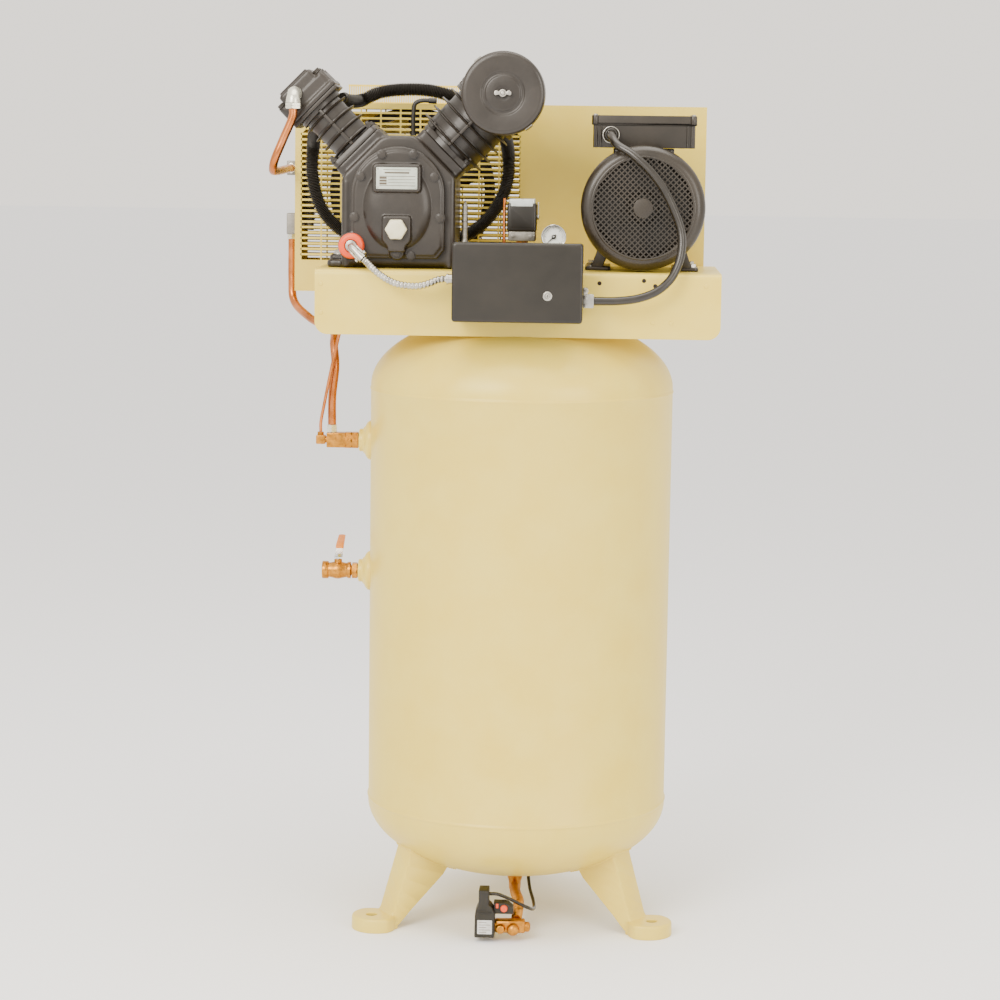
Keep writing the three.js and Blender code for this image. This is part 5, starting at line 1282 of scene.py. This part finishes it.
swell = 13.2 + 1.2 * np.cos(np.linspace(0, 2 * np.pi, len(elbow_line)))


def hexagon_nut(across, low, high, bore, middle):
    """An upright compression nut: a hexagon with both ends turned down, on a round collar."""
    lower = [moved(part, (middle[0], middle[1], (low + high) / 2)) for part in
             hex_bolt(across, (high - low) / 2, False, bore)]
    upper = [moved(moved(part, (0, 0, 0), 180, "X"), (middle[0], middle[1], (low + high) / 2))
             for part in hex_bolt(across, (high - low) / 2, False, bore)]
    return lower + upper


piece("discharge_fitting", [
    swept(elbow_line, swell, 32),
    turned(rounded([(0, head_face - 6), (14.8, head_face - 6), (14.8, head_face - 0.4),
                    (0, head_face - 0.4)], 1.2, 3), "y", (elbow_x, 0, elbow_z), 6),
    *hexagon_nut(16.2, elbow_z - 29.7, elbow_z - 18, 8, (elbow_x, head_face - 26))],
    nickel, stands_for=["discharge_elbow"])
cooler_low, cooler_high = corners("aftercooler")
cooler_x = cooler_low[0] + 10
cooler_y = (cooler_low[1] + cooler_high[1]) / 2
top_block_z = cooler_high[2] - 15
low_block_z = cooler_low[2] + 32
nut_x = coupling_end - 56
discharge_line = [
    (elbow_x, head_face - 26, elbow_z - 30), (elbow_x, head_face - 26, elbow_z - 42),
    (elbow_x - 20, head_face - 24, deck + 248), (cooler_x + 6, head_face - 20, deck + 208),
    (cooler_x, head_face + 4, deck + 189), (cooler_x, head_face + 40, top_block_z - 4),
    (cooler_x, cooler_y - 40, top_block_z), (cooler_x, cooler_y - 18.3, top_block_z)]
tank_line = [
    (cooler_x, cooler_y, low_block_z - 32.3), (cooler_x, cooler_y, deck + 18),
    (cooler_x, cooler_y, deck - 40), (cooler_x + 4, cooler_y - 8, deck - 84),
    (cooler_x + 46, cooler_y - 76, deck - 118), (nut_x - 6, 70, inlet_z + 215),
    (nut_x + 1, 18, inlet_z + 191), (nut_x + 6, 1, inlet_z + 151), (nut_x, 0, inlet_z + 85),
    (nut_x, 0, inlet_z + 31.3)]
piece("discharge_copper", [swept(route(discharge_line, 3), 8.4, 28)], copper,
      stands_for=["discharge_tube"])
piece("tank_copper", [swept(route(tank_line, 3), 8.4, 28)], copper, stands_for=["tank_tube"])
ends = []
for z, half in ((top_block_z, 15), (low_block_z, 22)):
    ends.append(block((cooler_x - 10, cooler_y - 18, z - half), (panel_low[0] - 0.3, cooler_y + 18,
                                                                z + half), 1.6, 3, "x"))
    ends.append(swept([(panel_low[0] - 2, cooler_y, z), (panel_low[0] + 30, cooler_y, z)], 6, 20))
    ends.append(turned(rounded([(0, cooler_x - 9.9), (5, cooler_x - 9.9), (5, cooler_x - 9),
                                (0, cooler_x - 9)], 0.4, 3), "x", (0, cooler_y + 9, z), 6))
inner_x = cooler_high[0] - 11
ends.append(finned([(inner_x, cooler_y, low_block_z - 13), (inner_x, cooler_y, low_block_z + 40),
                    (inner_x, cooler_y, top_block_z - 40), (inner_x, cooler_y, top_block_z + 13)],
                   16))
piece("aftercooler_ends", ends, cast_aluminium, stands_for=["aftercooler"])
nuts = hexagon_nut(10.8, low_block_z - 32, low_block_z - 21.5, 7, (cooler_x, cooler_y))
nuts += [moved(part, (cooler_x, cooler_y - 18.2, top_block_z)) for part in placed(
    hex_bolt(10.8, 9, False, 7), (0, 0, 0), 90, "X")]
nuts += hexagon_nut(10.8, inlet_z + 15, inlet_z + 30.7, 7, (nut_x, 0))
piece("compression_nuts", nuts, nickel, crease=30)

# ---- Check valve and pressure line ---------------------------------------------------------
# Forged brass at the tank's inlet: a hexagon, a square block with its nut on top, a side outlet
# with a small elbow, and the thin copper line that runs up through the platform.
valve_out = -coupling_end + 2
block_out = valve_out + 64
pilot_x = -(block_out + 13)
valve_parts = [
    turned(rounded([(0, -valve_out - 2), (12.4, -valve_out - 2), (12.4, coupling_end + 19),
                    (0, coupling_end + 19)], 1, 3), "x", (0, 0, inlet_z), 40),
    *[moved(part, (-valve_out, 0, inlet_z)) for part in placed(hex_bolt(18.2, 13.4, False),
                                                               (0, 0, 0), -90, "Y")],
    *[moved(part, (-valve_out - 26.6, 0, inlet_z)) for part in placed(
        hex_bolt(18.2, 13.4, False), (0, 0, 0), 90, "Y")],
    block((-block_out, -14.6, inlet_z - 15), (-valve_out - 25, 14.6, inlet_z + 15), 1.6, 2.5, "x"),
    swept([(-block_out - 4, 0, inlet_z), (-block_out + 2, 0, inlet_z)], 6.4, 24),
    block((-block_out - 22, -8.5, inlet_z - 9), (-block_out - 3, 8.5, inlet_z + 9), 1.5, 2.5, "y"),
    *hexagon_nut(7.2, inlet_z + 8.4, inlet_z + 15.6, 3.4, (pilot_x, 0))]
piece("check_valve_brass", valve_parts, brass, stands_for=["check_valve"], crease=30)
line_hole = corners("pressure_line")[1][0] - 3.2
pilot_line = [
    (pilot_x, 0, inlet_z + 16.3), (pilot_x, -1, inlet_z + 33), (pilot_x + 8, -12, inlet_z + 73),
    (pilot_x + 22, -16, inlet_z + 143), (pilot_x + 40, -18, inlet_z + 223),
    (pilot_x + 58, -26, deck - 60), (pilot_x + 110, -60, deck - 30), (-180, -116, deck - 26),
    (line_hole - 40, -132, deck - 26), (line_hole - 8, -132, deck - 20),
    (line_hole, -132, deck - 4), (line_hole, -132, deck + 58), (line_hole, -132, deck + 140)]
piece("pilot_copper", [swept(route(pilot_line, 3), 3.2, 16)], copper,
      stands_for=["pressure_line"])

# ---- Service valve -------------------------------------------------------------------------
# Brass ball valve: a swollen body between a hexagon and a collar, a chromed stem nut and a bent
# steel lever in an amber vinyl sleeve. The ball turns with the lever.
service_out = corners("service_valve_body")[0][0]
service_in = service_out + 60
stem_x = service_in - 28
turn = np.linspace(0, 1, 13)
waist = [(r, x) for x, r in zip(service_out + 13 + 37 * turn, 15 + 3.2 * np.sin(np.pi * turn) ** 2)]
body_line = [(7.6, service_out), (17.4, service_out), (18, service_out + 1), (18, service_out + 11),
             (17, service_out + 12.5), *waist, (16.5, service_in - 8), (17, service_in - 6),
             (17, service_in - 2), (10, service_in - 1), (12.4, service_in + 6),
             (12.4, coupling_end + 19), (7.6, coupling_end + 19), (7.6, stem_x + 13.4),
             (13.2, stem_x + 13.2), (13.2, stem_x - 13.2), (7.6, stem_x - 13.4)]
valve_body = [looped(body_line, "x", (0, 0, outlet_z), 72),
              *[moved(part, (service_in + 1, 0, outlet_z)) for part in placed(
                  hex_bolt(17.4, 11, False, 12), (0, 0, 0), 90, "Y")],
              looped(rounded([(4.1, outlet_z + 13), (9.5, outlet_z + 13), (8, outlet_z + 18),
                              (8, outlet_z + 22.6), (4.1, outlet_z + 22.6)], 0.8, 3, True), "z",
                     (stem_x, 0, 0), 36)]
piece("service_valve_brass", valve_body, brass, stands_for=["service_valve_body"], crease=40)
amber = coating("amber_vinyl", "signal_orange", ("#c86f1e", "#e08a30"), (0.35, 0.5), (1.0, 0.02),
                patch=14.0)
chrome = coating("chrome", "steel", ("#c2c4c4", "#dcdcda"), (0.1, 0.2), (0.8, 0.006),
                 metallic=1.0, patch=8.0)
stem = np.array([stem_x, 0.0, outlet_z])
strip = rounded([(-8, 26.2), (15, 26.2), (33, 46), (80, 59.6)], 9, 6)
strip_points = []
for distance, height in strip:
    width = np.interp(distance, [-8, 10, 30, 80], [8.3, 8.3, 6.2, 6.8])
    strip_points += [(width, distance, height - 1.3), (width, distance, height + 1.3),
                     (-width, distance, height + 1.3), (-width, distance, height - 1.3)]
strip_faces = grid(len(strip), 4, False, True) + [[0, 1, 2, 3], list(range(4 * len(strip) - 4,
                                                                          4 * len(strip)))]
lever = [(np.array(strip_points), strip_faces),
         looped(rounded([(3.6, 5), (3.6, 33), (1, 33.4), (0.5, 5)], 0.3, 3, True), "z", (0, 0, 0), 24),
         *hexagon_nut(6.4, 28, 33, 2.5, (0, 0))]
ball_t = np.linspace(0.66, np.pi - 0.66, 24)
ball = np.stack([12 * np.sin(ball_t), 12 * np.cos(ball_t)], 1)
lever.append(looped(np.concatenate([ball, [(6.2, -9.2), (6.2, 9.2)]]), "y", (0, 0, 0), 40))
piece("service_lever_chrome", [moved(part, stem) for part in lever], chrome, body="valve_lever",
      stands_for=["service_valve_lever"], crease=40)
sleeve_line = strip[strip[:, 0] > 22]
sleeve_rings = []
oval = np.linspace(0, 2 * np.pi, 20, endpoint=False)
for index, (distance, height) in enumerate(sleeve_line):
    grow = 0.86 if index in (0, len(sleeve_line) - 1) else 1.0
    sleeve_rings.append(np.stack([8.3 * grow * np.cos(oval), distance + 0 * oval,
                                  height + 2.9 * grow * np.sign(np.sin(oval))
                                  * np.abs(np.sin(oval)) ** 0.6], 1))
count = len(sleeve_rings)
piece("service_lever_sleeve", [moved((np.concatenate(sleeve_rings), grid(count, 20, False, True)
                                      + [list(range(20)), list(range(20 * count - 20, 20 * count))]),
                                     stem)], amber, body="valve_lever")

# ---- Control box ---------------------------------------------------------------------------
# Folded steel enclosure in semi-gloss black: a tray on the apron, a deep lid hinged at its left
# edge, and on its sides the zinc fittings that hold the conduit and the motor lead.
tray_high = corners("control_box")[1]
cap_low, cap_high = corners("control_box_lid")
tray_x0, tray_x1 = cap_low[0] + 3, cap_high[0] - 3
split_y = cap_high[1]
port_y = tray_high[1] - 48
lead_port_z = cap_low[2] + 41
conduit_port_z = cap_low[2] + 79
box_paint = coating("box_paint", "black_plastic", ("#100b03", "#191306"), (0.32, 0.45),
                    (1.6, 0.03))


def stood_up(part):
    """An open tray turned so that its mouth, which faced up, faces the front."""
    points, faces = part
    return points[:, [0, 2, 1]] * [1, -1, 1], faces


tray = stood_up(walled(np.array([tray_x0, cap_low[2] + 3, -tray_high[1]]),
                       np.array([tray_x1, cap_high[2] - 3, -split_y - 0.4]), 3, 3, True, 0.5))
lid_cup = stood_up(walled(np.array([cap_low[0], cap_low[2], split_y * -1]),
                          np.array([cap_high[0], cap_high[2], -cap_low[1]]), 3, 7, False, 5.0))
piece("control_tray", [tray], box_paint, stands_for=["control_box"])
piece("control_lid", [lid_cup], box_paint, body="box_lid", stands_for=["control_box_lid"])
hinge_z = np.linspace(cap_low[2] + 22, cap_high[2] - 22, 5)
piece("lid_hinge", [turned(rounded([(0, a + 0.6), (2.4, a + 0.6), (2.4, b - 0.6), (0, b - 0.6)], 0.5,
                                   3), "z", (cap_low[0] + 2.0, split_y + 2.6, 0), 20)
                    for a, b in zip(hinge_z[:-1], hinge_z[1:])], zinc)
lock_x, lock_z = centre("lid_lock")[[0, 2]]
piece("lock_barrel", [
    moved(looped(rounded([(5.0, cap_low[1] - 1.2), (7.6, cap_low[1] - 1.2), (9, cap_low[1] - 0.2),
                          (9, cap_low[1] + 0.4), (5, cap_low[1] + 0.4)], 0.4, 3, True), "y",
                 (0, 0, 0), 40), (lock_x, 0, lock_z))], zinc, body="box_lid")
key_slot = turned(rounded([(0, cap_low[1] - 2.2), (4.0, cap_low[1] - 2.0), (4.8, cap_low[1] - 0.6),
                           (4.4, cap_low[1] + 12), (0, cap_low[1] + 12)], 0.5, 3), "y",
                  (lock_x, 0, lock_z), 40)
piece("lock_cylinder", [key_slot], zinc, body="lock", stands_for=["lid_lock"])
# The key slot is a thin black bar on the lock's face: painted shade of the keyway.
piece("lock_key_slot", [block((lock_x - 0.6, cap_low[1] - 2.5, lock_z - 2.6),
                              (lock_x + 0.6, cap_low[1] - 1.6, lock_z + 2.6), 0.2, 0.3)],
      box_paint, body="lock")
connector_x = cap_high[0] + 16
conduit_x = cap_low[0] - 13
fittings = [moved(part, (tray_x1 + 0.2, port_y, lead_port_z)) for part in placed(
    hex_bolt(13, 5.5, False), (0, 0, 0), 90, "Y")]
fittings += [
    swept([(tray_x1 + 5, port_y, lead_port_z), (connector_x - 4, port_y, lead_port_z)], 10.6, 36),
    swept([(connector_x - 5, port_y, lead_port_z), (connector_x, port_y, lead_port_z)], 12, 36),
    block((tray_x1 + 3, port_y - 14, lead_port_z - 13), (connector_x + 5, port_y - 8.6,
                                                        lead_port_z + 14), 1, 3),
    block((tray_x1 + 3, port_y - 15, lead_port_z + 13), (tray_x1 + 12, port_y + 8,
                                                        lead_port_z + 26), 1, 2)]
for z in (lead_port_z - 8, lead_port_z + 8.5, lead_port_z + 20):
    fittings += placed(hex_bolt(4.4, 2.6, False), (tray_x1 + 9.6, port_y - 14, z), 90, "X", 9)
fittings += [moved(part, (tray_x0 - 0.2, port_y, conduit_port_z)) for part in placed(
    hex_bolt(12.4, 5, False), (0, 0, 0), -90, "Y")]
fittings += [
    swept([(conduit_x, port_y, conduit_port_z), (tray_x0 - 4, port_y, conduit_port_z)], 9.4, 36),
    swept([(conduit_x, port_y, conduit_port_z), (conduit_x + 3.5, port_y, conduit_port_z)], 10.4, 36)]
piece("box_fittings", fittings, zinc, crease=30)

# ---- Motor lead, conduit and drain lead ----------------------------------------------------
# The motor lead is a smooth round rubber jacket with a thin gloss coat that catches the light. The
# conduit is interlocked zinc strip, so it shows a sawtooth of rings. Both are held at both ends.
lead_line = [
    (gland_x, gland_face - 24.3, gland_z), (gland_x, gland_face - 36, gland_z),
    (173, -156, deck + 262), (183, -178, deck + 247), (212, -192, deck + 229),
    (247, -200, deck + 198), (273, -204, deck + 165), (294, -208, deck + 125),
    (309, -213, deck + 83), (311, -219, deck + 51), (305, -226, deck + 20), (291, -234, deck - 8),
    (266, -241, deck - 31), (232, -246, deck - 45), (192, port_y, lead_port_z + 1),
    (connector_x + 16, port_y, lead_port_z), (connector_x + 0.3, port_y, lead_port_z)]
lead_rubber = coating("lead_rubber", "rubber", ("#151008", "#1f190e"), (0.28, 0.42), (1.6, 0.02),
                      lump=(22.0, 0.15), coat=0.25, patch=30.0)
piece("motor_lead_jacket", [swept(route(lead_line, 3), 8.1, 32)], lead_rubber,
      stands_for=["motor_lead"])
clamp = clamp_end + crank_axis
start = clamp + 9 * clamp_step


def between(share):
    """A place across the gap from the clamp to the box, as a share of it."""
    return start[0] + share * (conduit_x - start[0])


conduit_line = route([
    clamp + 0.4 * clamp_step, start, (between(0.09), -216, deck + 3),
    (between(0.206), -226, deck - 11), (between(0.354), -236, deck - 23),
    (between(0.509), -243, deck - 28), (between(0.673), -247, deck - 28),
    (between(0.803), port_y, deck - 22), (between(0.889), port_y, deck - 16),
    (between(0.957), port_y, conduit_port_z), (conduit_x - 0.3, port_y, conduit_port_z)], 0.75)
strip_run = (np.arange(len(conduit_line)) * 0.75 / 7.4) % 1
strip_radius = 5.0 + 2.0 * np.clip(np.minimum(strip_run * 6, (1 - strip_run) * 1.8), 0, 1) ** 0.7
piece("conduit_hose", [swept(conduit_line, strip_radius, 28)], zinc, stands_for=["conduit"],
      crease=60)
drain_x0, drain_z0 = 12.0, 46.0
timer_low, timer_high = corners("drain_timer")
timer_right = timer_low[0] + 40
valve_y = timer_low[1] + 24
drain_lead_line = [
    (timer_right - 11.7, valve_y - 2, 94), (timer_right + 2, valve_y - 2, 94),
    (-6, valve_y + 26, 78), (34, -190, 52), (44, -150, 40), (42, -110, 44), (34, -74, 58),
    (30, -50, 72), (29, -44, 80)]
piece("drain_lead_jacket", [swept(route(drain_lead_line, 2), 3.5, 20)], lead_rubber,
      stands_for=["drain_lead"])

# ---- Manifold, pressure switch, gauge and safety valve -------------------------------------
# Brass pipework over the box: the switch is a black case on a grey base under a pale cap, with
# an unloader lever at its side; the gauge has a steel case and a white dial.
manifold_z = deck + 36
switch_y = -112.0
gauge_x, gauge_face, gauge_z = 63.0, switch_y - 58, deck + 67
pipes = [swept([(0, switch_y, deck + 0.4), (0, switch_y, deck + 56.6)], 9.6, 32),
         swept([(-100, switch_y, manifold_z), (gauge_x + 8, switch_y, manifold_z)], 8.4, 32),
         swept(route([(gauge_x, switch_y, manifold_z), (gauge_x, switch_y, gauge_z - 7),
                      (gauge_x, switch_y - 2, gauge_z - 2), (gauge_x, switch_y - 7, gauge_z),
                      (gauge_x, gauge_face + 24.4, gauge_z)], 2), 7.6, 28)]
for x in (-92, -18, 18, 44):
    pipes.append(swept([(x - 6, switch_y, manifold_z), (x + 6, switch_y, manifold_z)], 11.4, 6))
pipes += hexagon_nut(13, deck + 44, deck + 56, 8, (0, switch_y))
pipes += hexagon_nut(12.4, deck + 0.6, deck + 14, 8, (0, switch_y))
piece("manifold_brass", pipes, brass, stands_for=["manifold"], crease=30)
switch_low = deck + 57
piece("switch_case", [
    block((-29, switch_y - 33, switch_low + 19.4), (28, switch_y + 33, switch_low + 73), 2.4, 5, "z"),
    block((-22, switch_y - 33.2, switch_low + 26), (21, switch_y - 31, switch_low + 66), 0.8, 3)],
    box_paint, stands_for=["pressure_switch"])
pale_cap = coating("pale_cap", "white_paint", ("#b9bfbb", "#d2d7d2"), (0.24, 0.4), (1.2, 0.02),
                   metallic=0.35, patch=14.0)
grey_base = coating("grey_base", "steel", ("#75726a", "#918e86"), (0.35, 0.5), (0.9, 0.03),
                    metallic=0.8, patch=10.0)
piece("switch_cap", [block((-26, switch_y - 31, switch_low + 72.8), (25, switch_y + 31,
                                                                   switch_low + 82), 1.4, 5, "z"),
                     block((-22, switch_y - 33.8, switch_low + 68), (21, switch_y - 31,
                                                                    switch_low + 77), 0.6, 2)],
      pale_cap)
piece("switch_base", [block((-27, switch_y - 30, switch_low), (27, switch_y + 30,
                                                              switch_low + 19.6), 2, 5, "z"),
                      *placed(hex_bolt(4.2, 2, False), (-17, switch_y - 29.8, switch_low + 10), 90,
                              "X"),
                      *placed(hex_bolt(4.2, 2, False), (17, switch_y - 29.8, switch_low + 10), 90,
                              "X")], grey_base, crease=30)
pivot_z = switch_low + 46
piece("unloader_arm", [
    turned(rounded([(0, 28.4), (5, 28.4), (5, 32.4), (0, 33)], 0.6, 3), "x", (0, switch_y, pivot_z),
           28), block((29.6, switch_y - 3, pivot_z), (32.2, switch_y + 3, pivot_z + 30), 0.5, 2.4,
                      "x")], zinc, body="unloader_lever", stands_for=["switch_lever"])
case_line = [(0.6, 21.5), (22, 23.6), (24, 21.5), (24, 5), (23.2, 2), (24, 0.6), (23, 0),
             (21.4, 0.4), (21, 3), (21, 11.6), (2.4, 12), (2.0, 2.4), (0.6, 2.2)]
piece("gauge_case", [moved(looped([(r, y) for r, y in case_line], "y", (0, 0, 0), 72),
                           (gauge_x, gauge_face, gauge_z))], chrome, stands_for=["pressure_gauge"],
      crease=30)
dial_white = coating("dial_white", "white_paint", ("#e3e6df", "#eef0ea"), (0.4, 0.55), (0.8, 0.004),
                     patch=12.0)
piece("gauge_dial", [moved(looped([(2.6, 9.6), (20.9, 9.6), (20.9, 10.6), (2.6, 10.6)], "y",
                                  (0, 0, 0), 72), (gauge_x, gauge_face, gauge_z))], dial_white)
marks = []
for index, degrees in enumerate(np.linspace(-135, 135, 31)):
    long = index % 5 == 0
    tick = boxes([(-0.35 if long else -0.2, 9.35, 15.2 if long else 17.0)],
                 [(0.35 if long else 0.2, 9.7, 19.4)])
    marks.append(moved(moved(tick, (0, 0, 0), degrees), (gauge_x, gauge_face, gauge_z)))
piece("gauge_marks", marks, plate_ink)
pointer = plate([(-1.6, -6), (1.6, -6), (0.5, 17.5), (-0.5, 17.5)], 6.0, 7.0, 0.2, "y", 2)
hub = looped(rounded([(2.5, 5), (4.2, 5), (4.2, 8), (2.5, 8)], 0.5, 3, True), "y", (0, 0, 0), 28)
piece("gauge_pointer", [moved(moved(part, (0, 0, 0), -135), (gauge_x, gauge_face, gauge_z))
                        for part in (pointer, hub)], box_paint, body="needle",
      stands_for=["gauge_needle"])
valve_x = -113.0
safety = [*placed(hex_bolt(11, 12, False), (-100.4, switch_y, manifold_z), -90, "Y"),
          *placed(hex_bolt(11, 12.4, False), (-113, switch_y, manifold_z), -90, "Y"),
          turned(rounded([(0, manifold_z + 2), (9, manifold_z + 2), (9, manifold_z + 14),
                          (5.6, manifold_z + 22), (5.2, manifold_z + 88), (0, manifold_z + 99)],
                         1.6, 4), "z", (valve_x, switch_y, 0), 32)]
for z in (manifold_z + 30, manifold_z + 44, manifold_z + 58, manifold_z + 72):
    safety.append(turned(rounded([(0, z - 1.4), (6, z - 1.4), (6, z + 1.4), (0, z + 1.4)], 0.5, 3),
                         "z", (valve_x, switch_y, 0), 28))
piece("safety_valve_body", safety, grey_base, stands_for=["safety_valve"], crease=30)

# ---- Drain ---------------------------------------------------------------------------------
# Under the tank a ringed brass pipe runs forward to a tee with a ball and two caps. The timer is
# a black moulded case with a pale label and a dial unit that carries two orange marks.
tank_low_z = tank_low[2]
drain_front = -226.0
drop = route([(0, 14, drain_z0), (0, -10, drain_z0), (4, -60, drain_z0), (drain_x0, -120, drain_z0),
              (drain_x0, drain_front, drain_z0 - 6)], 1.5)
rings = 9.2 + 1.7 * np.clip(np.sin(np.arange(len(drop)) * 1.5 * 2 * np.pi / 9.0) * 3, -1, 1)
socket = turned(rounded([(0, drain_z0 - 8), (12, drain_z0 - 8), (12.6, drain_z0 + 8),
                         (13, tank_low_z - 30), (21, tank_low_z - 3), (12.5, tank_low_z - 3),
                         (12.5, tank_low_z + 6), (0, tank_low_z + 6)], 2, 3), "z", (0, 0, 0), 40)
tee = [socket, swept(drop, rings, 28),
       block((-30, valve_y - 13, 17), (30, valve_y + 13, 43), 4, 7, "x"),
       swept([(-29.8, valve_y, 30), (-23, valve_y, 30)], 14.4, 6),
       swept([(22, valve_y, 30), (29, valve_y, 30)], 14.4, 6),
       turned(rounded([(0, 28), (10, 28), (10, 37), (6, 40), (0, 40)], 2, 4), "x", (0, valve_y, 28),
              32)]
dome = np.linspace(0, np.pi / 2, 12)
cap_profile = np.stack([12.6 * np.sin(dome), valve_y - 14.5 - 11.5 * np.cos(dome)], 1)
tee.append(turned(np.concatenate([cap_profile, [(12.6, valve_y - 10), (0, valve_y - 10)]]), "y",
                  (6, 0, 26), 40))
tee.append(turned(rounded([(0, valve_y - 24), (8, valve_y - 23), (10, valve_y - 16),
                           (10, valve_y - 8), (0, valve_y - 8)], 2, 4), "y", (-19, 0, 27), 32))
piece("drain_brass", tee, brass, stands_for=["drain_valve"], crease=35)
timer_case = rounded([(timer_low[0], timer_low[2]), (timer_right, timer_low[2]),
                      (timer_right, 60), (timer_right - 8, 74), (timer_right - 12, 76),
                      (timer_right - 12, timer_high[2]), (timer_right - 32, timer_high[2]),
                      (timer_right - 32, 76), (timer_low[0] + 1, 62)], [3, 3, 6, 4, 2, 2, 2, 6, 8],
                     5, True)
dial_case = rounded([(timer_right - 3, 56), (timer_high[0], 56), (timer_high[0], 68),
                     (timer_high[0] - 12, 78), (timer_right - 3, 78)], [1, 3, 3, 5, 2], 5, True)
timer_parts = [plate(timer_case, valve_y - 24, valve_y + 18, 2.4),
               plate(dial_case, valve_y - 12, valve_y + 18, 2)]
for z in (60, 64):
    timer_parts.append(swept([(timer_low[0] + 5, valve_y - 24.2, z), (timer_right - 5, valve_y - 24.2,
                                                                       z)], 1.1, 10))
piece("timer_case", timer_parts, fan_black, stands_for=["drain_timer"])
label_grey = coating("label_grey", "white_paint", ("#b9b7b2", "#cfd0cf"), (0.4, 0.55), (0.6, 0.004),
                     patch=10.0)
piece("timer_label", [block((timer_low[0] + 6, valve_y - 24.5, 18), (timer_right - 5,
                                                                    valve_y - 23.6, 46), 0.2, 1.5)],
      label_grey)
lines = [((timer_low[0] + 9, 21 + 5 * k), (timer_right - (8 if k % 2 else 16), 22 + 5 * k))
         for k in range(5)]
piece("timer_label_lines", [boxes([(a[0], valve_y - 24.62, a[1]) for a, b in lines],
                                  [(b[0], valve_y - 24.4, b[1]) for a, b in lines])], plate_ink)
knob_x = timer_right + 18
piece("timer_knob", [
    turned(rounded([(0, valve_y - 18), (6.2, valve_y - 18), (7, valve_y - 16), (7, valve_y - 12.4),
                    (0, valve_y - 12.4)], 0.8, 3), "y", (knob_x, 0, 68), 32),
    block((knob_x - 0.9, valve_y - 18.4, 63), (knob_x + 0.9, valve_y - 17.6, 73), 0.2, 0.5)],
    signal_orange, body="timer_dial", stands_for=["drain_timer_knob"])
piece("timer_mark", [block((knob_x - 16, valve_y - 13.6, 68), (knob_x - 11, valve_y - 11.8, 77), 0.5,
                           1.2)], signal_orange)

# ---- Shaft, pistons and rotor --------------------------------------------------------------
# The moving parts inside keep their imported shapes. The crankshaft and the rotor are machined
# steel with a film of oil, and the pistons are bright aluminium.
oiled_steel = coating("oiled_steel", "steel", ("#7d7a74", "#98958e"), (0.16, 0.3), (0.7, 0.01),
                      metallic=1.0, patch=15.0)
piston_metal = coating("piston_metal", "piston_alloy", ("#a9a7a2", "#c0beb9"), (0.25, 0.4),
                       (0.7, 0.01), metallic=1.0, patch=15.0)
for name, look in (("crankshaft", oiled_steel), ("motor_rotor", oiled_steel),
                   ("high_pressure_piston", piston_metal), ("low_pressure_piston", piston_metal)):
    for held in bpy.data.objects[name].material_slots:
        held.material = look
